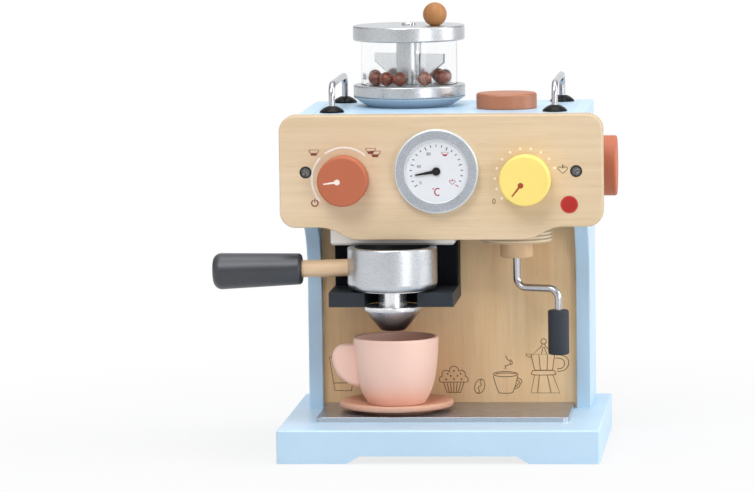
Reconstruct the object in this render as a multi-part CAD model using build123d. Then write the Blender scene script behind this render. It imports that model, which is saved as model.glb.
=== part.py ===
from build123d import *
from math import atan2, cos, radians, sin
import os

# Toy coffee maker. Millimetres. X runs to the right, Y to the back and Z up.
# The origin is the centre of the base's footprint, on the surface it stands on.

# ---- fits ----
RUN_FIT = 0.05  # radial clearance of a shaft that turns in its hole
FACE_GAP = 0.3  # gap between faces that turn or slide past each other
LOOSE_FIT = 0.3  # radial clearance of a piece that lifts out
SAG_GAP = 0.05  # gap under a ball that lies on a flat
TOUCH_R = 0.1  # smallest rounding, on edges that lie against another piece
CUT = 1.0  # how far a cutting shape runs past a face

# ---- base ----
BASE_OVERHANG = 11.4  # how far the base stands out beside the casing
BASE_D = 196.0
BASE_H = 23.3
DECK_T = 8.0
APRON_T = 10.0
BASE_EDGE_R = 1.4
NOTCH_H = 5.3
NOTCH_FLOOR_W = 126.6
NOTCH_TOP_W = 108.8
RIB_T = 10.0
SIDE_SCREW_FRONT_INSET = 20.0  # from the front edge of a side panel
SIDE_SCREW_REAR_INSET = 10.0  # from the rear board of the base

# ---- casing ----
CASE_W = 200.8
CASE_TOP_Z = 237.0
SIDE_T = 10.0
BAY_FRONT_Y = 17.0  # front edge of the side panels beside the cup bay
HEAD_FRONT_Y = -28.0  # front edge of the side panels at the head, where the front panel sits
ARC_START_Z = 117.0
TOP_T = 10.0
TOP_SEAM = 0.4  # bevel beside each side panel
REAR_T = 6.0
BACK_PANEL_SETBACK = 6.0  # behind the front edge of the side panels
BACK_PANEL_T = 6.0
HEAD_FLOOR_Z = 160.0
HEAD_FLOOR_T = 6.0
CASE_EDGE_R = 0.8

# ---- front panel ----
PANEL_OVERHANG = 12.65  # how far the panel stands out beside the casing
PANEL_T = 15.0
PANEL_END_Z = 158.5
PANEL_BULGE_Z = 149.5
PANEL_CORNER_R = 11.0
PANEL_EDGE_R = 1.2
BULGE_HALF_W = 55.0
BULGE_RUN = 31.0  # length of the S-shaped step down to the bulge
CONTROL_Z = 192.0

# ---- drip tray ----
TRAY_SIDE_GAP = 2.1  # between the tray and each side panel
TRAY_FRONT_Y = -56.4
TRAY_T = 3.5
TRAY_CORNER_R = 4.5
TRAY_EDGE_R = 0.6

# ---- knobs ----
KNOB_AXLE_D = 6.0
KNOB_AXLE_DEPTH = 10.0  # how far an axle goes into its knob
KNOB_EDGE_R = 1.6
KNOB_SCREW_D = 3.0
KNOB_SCREW_LENGTH = 8.0
KNOB_SCREW_HEAD_D = 13.2
KNOB_SCREW_HEAD_T = 2.0
KNOB_SCREW_HEAD_R = 0.4
LEFT_KNOB_D = 35.0
LEFT_KNOB_T = 16.0
LEFT_KNOB_INSET = 45.45  # from the left end of the front panel
RIGHT_KNOB_D = 35.5
RIGHT_KNOB_T = 16.0
RIGHT_KNOB_INSET = 53.65  # from the right end of the front panel
STEAM_KNOB_D = 42.5
STEAM_KNOB_T = 20.2
STEAM_KNOB_Y = 12.0
STEAM_KNOB_Z = 196.6

# ---- gauge ----
GAUGE_X = -2.6
GAUGE_Z = 198.0
GAUGE_RING_D = 59.0
GAUGE_DIAL_D = 43.5
GAUGE_RING_T = 6.0
GAUGE_RING_R = 1.2
GAUGE_LIP_R = 0.5
GAUGE_DIAL_T = 4.0
NEEDLE_LENGTH = 15.0
NEEDLE_HUB_D = 5.8
NEEDLE_ROOT_W = 2.6
NEEDLE_TIP_W = 0.9
NEEDLE_BLADE_T = 0.84
NEEDLE_HUB_R = 0.4
NEEDLE_T = 1.2
NEEDLE_REST_DEG = 189.8
GAUGE_PIN_D = 2.0
GAUGE_PIN_SET = 0.96  # how far the pin goes into the needle
GAUGE_CLIP_D = 6.0
GAUGE_CLIP_T = 0.8

# ---- lamp ----
LAMP_INSET = 23.55  # from the right end of the front panel
LAMP_Z = 174.1
LAMP_D = 12.4
LAMP_T = 3.0
LAMP_PROUD = 0.3

# ---- screws ----
PANEL_SCREW_HEAD_D = 8.5
PANEL_SCREW_RIM = 0.6
PANEL_SCREW_Z = 197.4
PANEL_SCREW_SHIFT = 0.9  # from the middle of a side panel's thickness, towards the bay
PANEL_SCREW_LENGTH = 40.0
SCREW_D = 4.0
SCREW_HEAD_D = 8.0
SCREW_HEAD_T = 2.6
SCREW_HEAD_R = 0.9
SCREW_GRIP = 18.0  # how far a screw goes into the piece it holds
RECESS_ARM = 4.6
RECESS_W = 1.1
RECESS_DEPTH = 1.3

# ---- brewing group ----
GROUP_X = -35.4
GROUP_PLATE_W = 87.3
GROUP_PLATE_Z = 144.6
GROUP_PLATE_FRONT_GAP = 0.5
GROUP_BEVEL = 1.5
BRACKET_BLOCK_W = 87.3
BRACKET_BLOCK_D = 23.0
SHELF_W = 87.6
SHELF_D = 71.0
SHELF_Z = 103.2
SHELF_T = 10.0
SHELF_SLOT_W = 37.0
SHELF_CORNER_R = 1.2
BRACKET_SCREW_SPACING = 50.0
BRACKET_SCREW_GRIP = 14.4

# ---- portafilter ----
BASKET_D = 63.0
BASKET_WALL = 5.0
BASKET_TOP_GAP = 0.4  # under the group plate
BASKET_WELL_DEPTH = 24.0
BASKET_FOOT_R = 5.0
BASKET_RING_D = 49.0
BASKET_RING_H = 0.8  # ring under the basket that slides on the shelf
BASKET_LIP_R = 1.2
BASKET_WELL_R = 2.0
BASKET_REAR_GAP = 0.5
NECK_D = 20.0
SPOUT_TOP_GAP = 0.4
SPOUT_D = 40.4
SPOUT_BAND_H = 3.0
SPOUT_END_D = 16.8
SPOUT_END_Z = 85.3
SPOUT_ROUND = 3.0
SPOUT_BAND_R = 1.2
HANDLE_Z = 130.3
HANDLE_DROOP_DEG = 1.5
HANDLE_DOWEL_D = 12.0
HANDLE_DOWEL_SET = 4.0  # how far the dowel goes into the basket's wall
HANDLE_GRIP_START = 63.5  # from the group's axis
HANDLE_GRIP_LENGTH = 62.9
HANDLE_GRIP_BORE = 20.0
GRIP_INNER_D = 21.8
GRIP_OUTER_D = 25.9
GRIP_INNER_ROUND = 2.5
GRIP_OUTER_ROUND = 6.0

# ---- steam wand ----
WAND_SIDE_SPACE = 40.4  # from the wand's pivot to the right side panel
WAND_DISC_D = 50.4
WAND_DISC_Z = 144.8
WAND_BOSS_D = 23.0
WAND_BOSS_H = 11.2
WAND_TUBE_D = 5.2
WAND_RUN_Z = 112.0
WAND_ARM = 31.5
WAND_BEND_R = 7.0
WAND_REST_DEG = -20.0
SLEEVE_D = 14.8
SLEEVE_TOP_Z = 97.1
SLEEVE_LENGTH = 31.5
SLEEVE_EDGE_R = 1.5
WAND_DISC_R = 0.8
WAND_BOSS_R = 1.2
SLEEVE_GRIP = 24.0  # how far the tube goes into the sleeve
COLLAR_D = 12.0
COLLAR_H = 6.0

# ---- grinder ----
GRINDER_X = -29.0
GRINDER_REAR_INSET = 47.0  # from the back of the casing
PLINTH_FOOT_D = 59.4
GRINDER_D = 79.8
PLINTH_H = 7.0
PLINTH_RIM = 0.6
GRINDER_BASE_H = 8.5
GRINDER_EDGE_R = 1.2
HOPPER_D = 68.7
HOPPER_WALL = 3.0
HOPPER_SEAT = 1.5
HOPPER_SEAT_GAP = 0.15
HOPPER_H = 31.5
GRINDER_LID_T = 10.6
COLUMN_D = 18.0
PADDLE_T = 3.0
PADDLE_TOP_HALF_W = 27.8
PADDLE_FOOT_HALF_W = 17.3
PADDLE_TOP_DROP = 9.7  # below the lid
PADDLE_SHOULDER_DROP = 15.8
PADDLE_WAIST_DROP = 23.7
PADDLE_SET = 3.0  # how far a paddle goes into the column
PADDLE_DEG = -24.0
BOLT_D = 5.0
BOLT_HEAD_D = 9.7
BOLT_HEAD_H = 1.7
BOLT_NUT_AF = 10.0
BOLT_NUT_H = 5.0
BALL_D = 17.0
BALL_REACH = 22.3  # from the grinder's axis
BALL_FLAT = 0.5  # cut off the ball where it rests on the lid
BALL_DEG = -28.0
BALL_PEG_D = 5.0
BALL_PEG_SET = 5.0
BEAD_D = 10.0
BEAD_RING_R = 25.9
BEAD_DEGREES = (-149, -123, -100, -61, -23, 10, 40, 75, 120, 168)

# ---- tank cap ----
CAP_INSET = 58.0  # from the right side of the casing
CAP_Y = 21.0
CAP_D = 42.8
CAP_H = 11.0
CAP_EDGE_R = 1.8
CAP_SPIGOT_D = 20.0
CAP_SPIGOT_H = 6.0

# ---- rails ----
RAIL_SIDE_INSET = 22.0  # from each side of the casing
RAIL_FRONT_INSET = 15.0  # from the back of the front panel
RAIL_BACK_INSET = 15.0  # from the back of the casing
RAIL_D = 4.5
RAIL_RISE = 22.0  # top of a rail above the casing
RAIL_BEND_R = 8.0
RAIL_FOOT_D = 17.3
RAIL_FOOT_H = 4.6
RAIL_FOOT_RIM = 0.9
RAIL_FOOT_TOP_D = 5.8
RAIL_FOOT_BULGE = 0.5  # how far the dome swells past a straight cone
RAIL_NUT_AF = 8.0
RAIL_NUT_H = 4.0
RAIL_THREAD = 6.0  # length of rail below the top plate

# ---- saucer and cup ----
SAUCER_X = -34.9
SAUCER_D = 80.4
SAUCER_FOOT_D = 54.0
SAUCER_FOOT_H = 1.2
SAUCER_WELL_D = 47.0
SAUCER_WELL_H = 4.9
SAUCER_RIM_H = 7.4
SAUCER_RIM_T = 4.0
SAUCER_REAR_GAP = 0.5
CUP_RIM_D = 60.4
CUP_H = 47.4
CUP_BELLY_D = 56.2
CUP_BELLY_H = 22.3
CUP_LOW_D = 47.2
CUP_LOW_H = 6.8
CUP_FOOT_D = 39.2
CUP_FOOT_R = 2.0
CUP_WALL = 3.6
CUP_FLOOR_T = 5.0
EAR_REACH = 45.2
EAR_TOP_H = 42.3
EAR_LOBE_R = 9.3  # above the place where the ear stands out most
EAR_T = 9.5
EAR_ROUND = 3.4

# ---- places that follow from the sizes above ----
CASE_HALF = CASE_W / 2
BAY_HALF = CASE_HALF - SIDE_T
BASE_W = CASE_W + 2 * BASE_OVERHANG
PANEL_HALF = CASE_HALF + PANEL_OVERHANG
TRAY_HALF = BAY_HALF - TRAY_SIDE_GAP
SIDE_X = CASE_HALF - SIDE_T / 2
PANEL_SCREW_X = SIDE_X - PANEL_SCREW_SHIFT
LEFT_KNOB_X = LEFT_KNOB_INSET - PANEL_HALF
RIGHT_KNOB_X = PANEL_HALF - RIGHT_KNOB_INSET
LAMP_X = PANEL_HALF - LAMP_INSET
BASE_HALF_D = BASE_D / 2
DECK_Z = BASE_H - DECK_T
HEAD_OVERHANG = BAY_FRONT_Y - HEAD_FRONT_Y
PANEL_FRONT_Y = HEAD_FRONT_Y - PANEL_T
BACK_PANEL_Y = BAY_FRONT_Y + BACK_PANEL_SETBACK
HEAD_TOP_Z = HEAD_FLOOR_Z + HEAD_FLOOR_T
TOP_UNDER_Z = CASE_TOP_Z - TOP_T
TRAY_TOP_Z = BASE_H + TRAY_T
SHELF_TOP_Z = SHELF_Z + SHELF_T
BLOCK_FRONT_Y = BACK_PANEL_Y - BRACKET_BLOCK_D
BASKET_Y = BLOCK_FRONT_Y - BASKET_REAR_GAP - BASKET_D / 2
BASKET_FOOT_Z = SHELF_TOP_Z + FACE_GAP
BASKET_TOP_Z = GROUP_PLATE_Z - BASKET_TOP_GAP
WAND_X = BAY_HALF - WAND_SIDE_SPACE
WAND_Y = (HEAD_FRONT_Y + BACK_PANEL_Y) / 2
GRINDER_Y = BASE_HALF_D - GRINDER_REAR_INSET
PLINTH_TOP_Z = CASE_TOP_Z + PLINTH_H
GRINDER_FLOOR_Z = PLINTH_TOP_Z + GRINDER_BASE_H
GRINDER_LID_Z = GRINDER_FLOOR_Z + HOPPER_H
GRINDER_TOP_Z = GRINDER_LID_Z + GRINDER_LID_T
PADDLE_TOP_Z = GRINDER_LID_Z - PADDLE_TOP_DROP
PADDLE_SHOULDER_Z = GRINDER_LID_Z - PADDLE_SHOULDER_DROP
PADDLE_WAIST_Z = GRINDER_LID_Z - PADDLE_WAIST_DROP
CAP_X = CASE_HALF - CAP_INSET
RAIL_TOP_Z = CASE_TOP_Z + RAIL_RISE
SAUCER_Y = BACK_PANEL_Y - SAUCER_REAR_GAP - SAUCER_D / 2
CUP_FOOT_Z = TRAY_TOP_Z + SAUCER_WELL_H
RAIL_X = CASE_HALF - RAIL_SIDE_INSET
RAIL_FRONT_Y = HEAD_FRONT_Y + RAIL_FRONT_INSET
RAIL_BACK_Y = BASE_HALF_D - RAIL_BACK_INSET
RAIL_PLACES = [(x, y) for x in (-RAIL_X, RAIL_X) for y in (RAIL_FRONT_Y, RAIL_BACK_Y)]
SIDE_SCREW_YS = (
    BAY_FRONT_Y + SIDE_SCREW_FRONT_INSET,
    BASE_HALF_D - APRON_T - SIDE_SCREW_REAR_INSET,
)


# ---- shapes used by several pieces ----
def block(x0, x1, y0, y1, z0, z1):
    """A box between two corners."""
    middle = Pos((x0 + x1) / 2, (y0 + y1) / 2, (z0 + z1) / 2)
    return middle * Box(x1 - x0, y1 - y0, z1 - z0)


def bar(diameter, start, end):
    """A round bar from one point to another."""
    line = Vector(*end) - Vector(*start)
    ends = (Align.CENTER, Align.CENTER, Align.MIN)
    return Plane(origin=start, z_dir=line) * Cylinder(diameter / 2, line.length, align=ends)


def upright(diameter, x, y, z0, z1):
    """A round bar that stands on its end."""
    return bar(diameter, (x, y, z0), (x, y, z1))


def turned(points):
    """A solid turned about Z from half its outline, given as radius and height."""
    outline = Polyline(*[(r, 0, z) for r, z in points], close=True)
    return revolve(make_face(outline), Axis.Z)


def edges_at(solid, axis, value):
    """The edges that lie wholly at one height along an axis."""
    return solid.edges().filter_by_position(axis, value - 0.01, value + 0.01)


def round_end(solid, axis, value, radius):
    """Rounds every edge at one height along an axis."""
    return fillet(edges_at(solid, axis, value), radius)


def puck(diameter, height, low_round, high_round):
    """A disc standing on Z = 0 with its two edges rounded."""
    solid = upright(diameter, 0, 0, 0, height)
    solid = round_end(solid, Axis.Z, 0, min(low_round, 0.45 * height))
    return round_end(solid, Axis.Z, height, min(high_round, 0.45 * height))


def hexagon(across_flats, x, y, z0, z1):
    """A hexagonal nut blank."""
    outline = RegularPolygon(across_flats / 2, 6, major_radius=False)
    return Pos(x, y, z0) * extrude(outline, z1 - z0)


def cross_recess():
    """The cross-shaped pocket of a screw whose head faces up at Z = 0."""
    arm = Box(RECESS_ARM, RECESS_W, 2 * RECESS_DEPTH)
    return arm + Rot(0, 0, 90) * arm


def pan_screw(length):
    """A pan-head screw with its head above Z = 0 and its shank below."""
    head = puck(SCREW_HEAD_D, SCREW_HEAD_T, TOUCH_R, SCREW_HEAD_R)
    shank = upright(SCREW_D, 0, 0, -length, 0)
    return head + shank - Pos(0, 0, SCREW_HEAD_T) * cross_recess()


def bent_bar(diameter, points, bend_radius):
    """A bar bent along straight runs joined by arcs."""
    path = FilletPolyline(*points, radius=bend_radius)
    run = Vector(*points[1]) - Vector(*points[0])
    section = Plane(origin=points[0], z_dir=run) * Circle(diameter / 2)
    return sweep(section, path)


# ---- base ----
def base_deck():
    """Board that closes the top of the hollow base, between the four aprons."""
    half_w = BASE_W / 2 - APRON_T
    half_d = BASE_HALF_D - APRON_T
    board = block(-half_w, half_w, -half_d, half_d, DECK_Z, BASE_H)
    for x in (-SIDE_X, SIDE_X):
        for y in SIDE_SCREW_YS:
            board -= upright(SCREW_D, x, y, DECK_Z - CUT, BASE_H + CUT)
    return board


def end_apron(outer_y, inner_y):
    """Full-width board at the front or back of the base, rounded on its outer edges."""
    low_y, high_y = sorted((outer_y, inner_y))
    board = block(-BASE_W / 2, BASE_W / 2, low_y, high_y, 0, BASE_H)
    outer = edges_at(board, Axis.Y, outer_y)
    corners = outer.filter_by(Axis.Z)
    top = edges_at(board, Axis.Z, BASE_H) - edges_at(board, Axis.Y, inner_y)
    return fillet(corners + top, BASE_EDGE_R)


def base_front_apron():
    """Front board of the base, with the shallow notch that makes two feet of it."""
    corners = [
        (-NOTCH_FLOOR_W / 2, 0, -1),
        (-NOTCH_FLOOR_W / 2, 0, 0),
        (-NOTCH_TOP_W / 2, 0, NOTCH_H),
        (NOTCH_TOP_W / 2, 0, NOTCH_H),
        (NOTCH_FLOOR_W / 2, 0, 0),
        (NOTCH_FLOOR_W / 2, 0, -1),
    ]
    notch = extrude(make_face(Polyline(*corners, close=True)), BASE_D, dir=(0, -1, 0))
    return end_apron(-BASE_HALF_D, -BASE_HALF_D + APRON_T) - notch


def base_rear_apron():
    """Rear board of the base."""
    return end_apron(BASE_HALF_D, BASE_HALF_D - APRON_T)


def side_apron(side):
    """Board along one side of the base, between the front and rear boards."""
    outer_x = side * BASE_W / 2
    low_x, high_x = sorted((outer_x, outer_x - side * APRON_T))
    half_d = BASE_HALF_D - APRON_T
    board = block(low_x, high_x, -half_d, half_d, 0, BASE_H)
    rounded = edges_at(board, Axis.X, outer_x).group_by(Axis.Z)[-1]
    return fillet(rounded, BASE_EDGE_R)


def base_side_aprons():
    """The two side boards of the base."""
    return Compound(children=[side_apron(-1), side_apron(1)])


def base_cross_rib():
    """Rib across the middle of the base that carries the deck and stands on the table."""
    half_w = BASE_W / 2 - APRON_T
    return block(-half_w, half_w, -RIB_T / 2, RIB_T / 2, 0, DECK_Z)


def drip_tray():
    """Flat silver tray on the deck, up to the back panel."""
    tray = block(-TRAY_HALF, TRAY_HALF, TRAY_FRONT_Y, BACK_PANEL_Y, BASE_H, TRAY_TOP_Z)
    corners = edges_at(tray, Axis.Y, TRAY_FRONT_Y).filter_by(Axis.Z)
    tray = fillet(corners, TRAY_CORNER_R)
    front = tray.edges().group_by(Axis.Z)[-1] - edges_at(tray, Axis.Y, BACK_PANEL_Y)
    return fillet(front, TRAY_EDGE_R)


# ---- casing ----
def side_panel(side):
    """Side board whose front edge sweeps forward in an arc to carry the head."""
    arc_top_z = ARC_START_Z + HEAD_OVERHANG
    reach = HEAD_OVERHANG * cos(radians(45))
    arc_middle = (HEAD_FRONT_Y + reach, ARC_START_Z + reach)
    low_front = (0, BAY_FRONT_Y, BASE_H)
    arc_start = (0, BAY_FRONT_Y, ARC_START_Z)
    arc_end = (0, HEAD_FRONT_Y, arc_top_z)
    top_front = (0, HEAD_FRONT_Y, CASE_TOP_Z)
    top_back = (0, BASE_HALF_D, CASE_TOP_Z)
    low_back = (0, BASE_HALF_D, BASE_H)
    outline = (
        Line(low_front, arc_start)
        + ThreePointArc(arc_start, (0, *arc_middle), arc_end)
        + Polyline(arc_end, top_front, top_back, low_back, low_front)
    )
    board = extrude(make_face(outline), SIDE_T, dir=(1, 0, 0))
    board = Pos(SIDE_X - SIDE_T / 2 if side > 0 else -CASE_HALF, 0, 0) * board
    bay_edges = edges_at(board, Axis.Y, BAY_FRONT_Y).filter_by(Axis.Z)
    board = fillet(bay_edges, CASE_EDGE_R)
    for y in SIDE_SCREW_YS:
        board -= upright(SCREW_D, side * SIDE_X, y, BASE_H - CUT, BASE_H + SCREW_GRIP)
    panel_screw_end = PANEL_FRONT_Y + PANEL_SCREW_LENGTH
    return board - bar(
        SCREW_D,
        (side * PANEL_SCREW_X, HEAD_FRONT_Y - CUT, PANEL_SCREW_Z),
        (side * PANEL_SCREW_X, panel_screw_end, PANEL_SCREW_Z),
    )


def left_side_panel():
    return side_panel(-1)


def right_side_panel():
    """Right side board, drilled for the axle of the steam knob."""
    inner = (BAY_HALF - CUT, STEAM_KNOB_Y, STEAM_KNOB_Z)
    outer = (CASE_HALF + CUT, STEAM_KNOB_Y, STEAM_KNOB_Z)
    return side_panel(1) - bar(KNOB_AXLE_D + 2 * RUN_FIT, inner, outer)


def back_panel():
    """Plain wooden panel behind the cup bay."""
    panel = block(
        -BAY_HALF, BAY_HALF, BACK_PANEL_Y, BACK_PANEL_Y + BACK_PANEL_T, BASE_H, HEAD_TOP_Z
    )
    for x, z in bracket_screw_places():
        panel -= bar(SCREW_D, (x, BACK_PANEL_Y - CUT, z), (x, BACK_PANEL_Y + BACK_PANEL_T + CUT, z))
    return panel


def rear_panel():
    """Board that closes the back of the casing."""
    inner_y = BASE_HALF_D - REAR_T
    return block(-BAY_HALF, BAY_HALF, inner_y, BASE_HALF_D, BASE_H, TOP_UNDER_Z)


def top_plate():
    """Board between the side panels that carries the grinder, cap and rails."""
    plate = block(-BAY_HALF, BAY_HALF, HEAD_FRONT_Y, BASE_HALF_D, TOP_UNDER_Z, CASE_TOP_Z)
    seams = edges_at(plate, Axis.Z, CASE_TOP_Z).filter_by(Axis.Y)
    plate = chamfer(seams, TOP_SEAM)
    low, high = TOP_UNDER_Z - CUT, CASE_TOP_Z + CUT
    for x, y in RAIL_PLACES:
        plate -= upright(RAIL_D, x, y, low, high)
    plate -= upright(BOLT_D + 2 * RUN_FIT, GRINDER_X, GRINDER_Y, low, high)
    return plate - upright(CAP_SPIGOT_D + 2 * LOOSE_FIT, CAP_X, CAP_Y, low, high)


def head_floor():
    """Board under the head, from the front panel to the back panel."""
    floor = block(-BAY_HALF, BAY_HALF, HEAD_FRONT_Y, BACK_PANEL_Y, HEAD_FLOOR_Z, HEAD_TOP_Z)
    hole = WAND_TUBE_D + 2 * RUN_FIT
    return floor - upright(hole, WAND_X, WAND_Y, HEAD_FLOOR_Z - CUT, HEAD_TOP_Z + CUT)


def front_panel():
    """Thick board with rounded corners and a lower edge that steps down to a wide bulge."""
    half_w = PANEL_HALF
    middle_x = BULGE_HALF_W + BULGE_RUN / 2
    middle_z = (PANEL_END_Z + PANEL_BULGE_Z) / 2
    drop = PANEL_END_Z - PANEL_BULGE_Z
    step_r = (BULGE_RUN**2 + drop**2) / (4 * drop)
    y = HEAD_FRONT_Y

    def step(side):
        outer = (side * (BULGE_HALF_W + BULGE_RUN), y, PANEL_END_Z)
        middle = (side * middle_x, y, middle_z)
        inner = (side * BULGE_HALF_W, y, PANEL_BULGE_Z)
        half_turn = atan2(drop, BULGE_RUN)
        sag = step_r * (1 - cos(half_turn))
        swing = step_r * sin(half_turn)
        upper = (side * (BULGE_HALF_W + BULGE_RUN - swing), y, PANEL_END_Z - sag)
        lower = (side * (BULGE_HALF_W + swing), y, PANEL_BULGE_Z + sag)
        return ThreePointArc(outer, upper, middle) + ThreePointArc(middle, lower, inner)

    sides = Polyline(
        (-BULGE_HALF_W - BULGE_RUN, y, PANEL_END_Z),
        (-half_w, y, PANEL_END_Z),
        (-half_w, y, CASE_TOP_Z),
        (half_w, y, CASE_TOP_Z),
        (half_w, y, PANEL_END_Z),
        (BULGE_HALF_W + BULGE_RUN, y, PANEL_END_Z),
    )
    bulge = Line((-BULGE_HALF_W, y, PANEL_BULGE_Z), (BULGE_HALF_W, y, PANEL_BULGE_Z))
    outline = sides + step(1) + bulge + step(-1)
    panel = extrude(make_face(outline), PANEL_T, dir=(0, -1, 0))
    corners = edges_at(panel, Axis.X, half_w) + edges_at(panel, Axis.X, -half_w)
    panel = fillet(corners.filter_by(Axis.Y), PANEL_CORNER_R)
    panel = round_end(panel, Axis.Y, PANEL_FRONT_Y, PANEL_EDGE_R)

    front, back = PANEL_FRONT_Y - CUT, HEAD_FRONT_Y + CUT
    for x in (LEFT_KNOB_X, RIGHT_KNOB_X):
        panel -= bar(KNOB_AXLE_D + 2 * RUN_FIT, (x, front, CONTROL_Z), (x, back, CONTROL_Z))
    pin_hole = GAUGE_PIN_D + 2 * RUN_FIT
    panel -= bar(pin_hole, (GAUGE_X, front, GAUGE_Z), (GAUGE_X, back, GAUGE_Z))
    lamp_seat = PANEL_FRONT_Y + LAMP_T - LAMP_PROUD
    panel -= bar(LAMP_D, (LAMP_X, front, LAMP_Z), (LAMP_X, lamp_seat, LAMP_Z))
    for screw in panel_screw_blanks():
        panel -= screw
    return panel


# ---- screws ----
def panel_screw_blanks():
    """Countersunk screws that hold the front panel to the side panels, without their recess."""
    taper = (PANEL_SCREW_HEAD_D - SCREW_D) / 2
    outline = [
        (0, 0),
        (PANEL_SCREW_HEAD_D / 2, 0),
        (PANEL_SCREW_HEAD_D / 2, -PANEL_SCREW_RIM),
        (SCREW_D / 2, -PANEL_SCREW_RIM - taper),
        (SCREW_D / 2, -PANEL_SCREW_LENGTH),
        (0, -PANEL_SCREW_LENGTH),
    ]
    screw = Rot(90, 0, 0) * turned(outline)
    return [Pos(x, PANEL_FRONT_Y, PANEL_SCREW_Z) * screw for x in (-PANEL_SCREW_X, PANEL_SCREW_X)]


def front_panel_screws():
    """The two countersunk cross-recess screws of the front panel."""
    recess = Rot(90, 0, 0) * cross_recess()
    screws = []
    for blank, x in zip(panel_screw_blanks(), (-PANEL_SCREW_X, PANEL_SCREW_X)):
        screws.append(blank - Pos(x, PANEL_FRONT_Y, PANEL_SCREW_Z) * recess)
    return Compound(children=screws)


def side_panel_screws():
    """Four screws that come up through the deck into the side panels."""
    screw = Rot(180, 0, 0) * pan_screw(DECK_T + SCREW_GRIP)
    places = [(x, y) for x in (-SIDE_X, SIDE_X) for y in SIDE_SCREW_YS]
    return Compound(children=[Pos(x, y, DECK_Z) * screw for x, y in places])


def bracket_screw_places():
    """X and Z of the two screws that hold the bracket to the back panel."""
    z = (SHELF_TOP_Z + GROUP_PLATE_Z) / 2
    return [(GROUP_X + side * BRACKET_SCREW_SPACING / 2, z) for side in (-1, 1)]


def bracket_screws():
    """Two screws driven through the back panel into the bracket block."""
    screw = Rot(-90, 0, 0) * pan_screw(BACK_PANEL_T + BRACKET_SCREW_GRIP)
    rear_y = BACK_PANEL_Y + BACK_PANEL_T
    return Compound(children=[Pos(x, rear_y, z) * screw for x, z in bracket_screw_places()])


# ---- controls ----
def front_control(x, solid):
    """Turns a piece built along +Z to face the front, at a knob's place."""
    return Pos(x, PANEL_FRONT_Y, CONTROL_Z) * Rot(90, 0, 0) * solid


def steam_control(solid):
    """Turns a piece built along +Z to face the right, at the steam knob's place."""
    return Pos(CASE_HALF, STEAM_KNOB_Y, STEAM_KNOB_Z) * Rot(0, 90, 0) * solid


def knob(diameter, thickness):
    """Turned wooden knob with a blind hole for its axle. The wall it turns on is at Z = 0."""
    body = Pos(0, 0, FACE_GAP) * puck(diameter, thickness - FACE_GAP, KNOB_EDGE_R / 2, KNOB_EDGE_R)
    return body - upright(KNOB_AXLE_D, 0, 0, 0, FACE_GAP + KNOB_AXLE_DEPTH)


def knob_axle(wall):
    """Axle from inside the knob through the wall it turns in, with a hole for its screw."""
    inner = -wall - FACE_GAP
    axle = upright(KNOB_AXLE_D, 0, 0, inner, FACE_GAP + KNOB_AXLE_DEPTH)
    return axle - upright(KNOB_SCREW_D, 0, 0, inner - CUT, inner + KNOB_SCREW_LENGTH)


def knob_screw(wall):
    """Washer-head screw in the inner end of an axle. It keeps the knob on."""
    inner = -wall - FACE_GAP
    outside = Pos(0, 0, inner - KNOB_SCREW_HEAD_T)
    head = puck(KNOB_SCREW_HEAD_D, KNOB_SCREW_HEAD_T, KNOB_SCREW_HEAD_R, TOUCH_R)
    shank = upright(KNOB_SCREW_D, 0, 0, inner, inner + KNOB_SCREW_LENGTH)
    return outside * (head - cross_recess()) + shank


def left_knob():
    return front_control(LEFT_KNOB_X, knob(LEFT_KNOB_D, LEFT_KNOB_T))


def left_knob_axle():
    return front_control(LEFT_KNOB_X, knob_axle(PANEL_T))


def left_knob_screw():
    return front_control(LEFT_KNOB_X, knob_screw(PANEL_T))


def right_knob():
    return front_control(RIGHT_KNOB_X, knob(RIGHT_KNOB_D, RIGHT_KNOB_T))


def right_knob_axle():
    return front_control(RIGHT_KNOB_X, knob_axle(PANEL_T))


def right_knob_screw():
    return front_control(RIGHT_KNOB_X, knob_screw(PANEL_T))


def steam_knob():
    return steam_control(knob(STEAM_KNOB_D, STEAM_KNOB_T))


def steam_knob_axle():
    return steam_control(knob_axle(SIDE_T))


def steam_knob_screw():
    return steam_control(knob_screw(SIDE_T))


def red_lamp():
    """Round red inlay set into the front panel, a touch proud of it."""
    seat = PANEL_FRONT_Y + LAMP_T - LAMP_PROUD
    lamp = bar(LAMP_D, (LAMP_X, seat, LAMP_Z), (LAMP_X, seat - LAMP_T, LAMP_Z))
    return round_end(lamp, Axis.Y, seat - LAMP_T, LAMP_PROUD / 2)


# ---- gauge ----
def at_gauge(solid):
    """Turns a piece built along +Z on the panel's face to the gauge's place."""
    return Pos(GAUGE_X, PANEL_FRONT_Y, GAUGE_Z) * Rot(90, 0, 0) * solid


def gauge_ring():
    """Flat silver ring round the dial."""
    ring = puck(GAUGE_RING_D, GAUGE_RING_T, TOUCH_R, GAUGE_RING_R)
    ring -= upright(GAUGE_DIAL_D, 0, 0, -CUT, GAUGE_RING_T + CUT)
    inner_lip = edges_at(ring, Axis.Z, GAUGE_RING_T).sort_by(SortBy.LENGTH)[0]
    return at_gauge(fillet(inner_lip, GAUGE_LIP_R))


def gauge_dial():
    """White dial inside the ring, with the hole for the needle's pin."""
    dial = upright(GAUGE_DIAL_D, 0, 0, 0, GAUGE_DIAL_T)
    return at_gauge(dial - upright(GAUGE_PIN_D + 2 * RUN_FIT, 0, 0, -CUT, GAUGE_DIAL_T + CUT))


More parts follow.
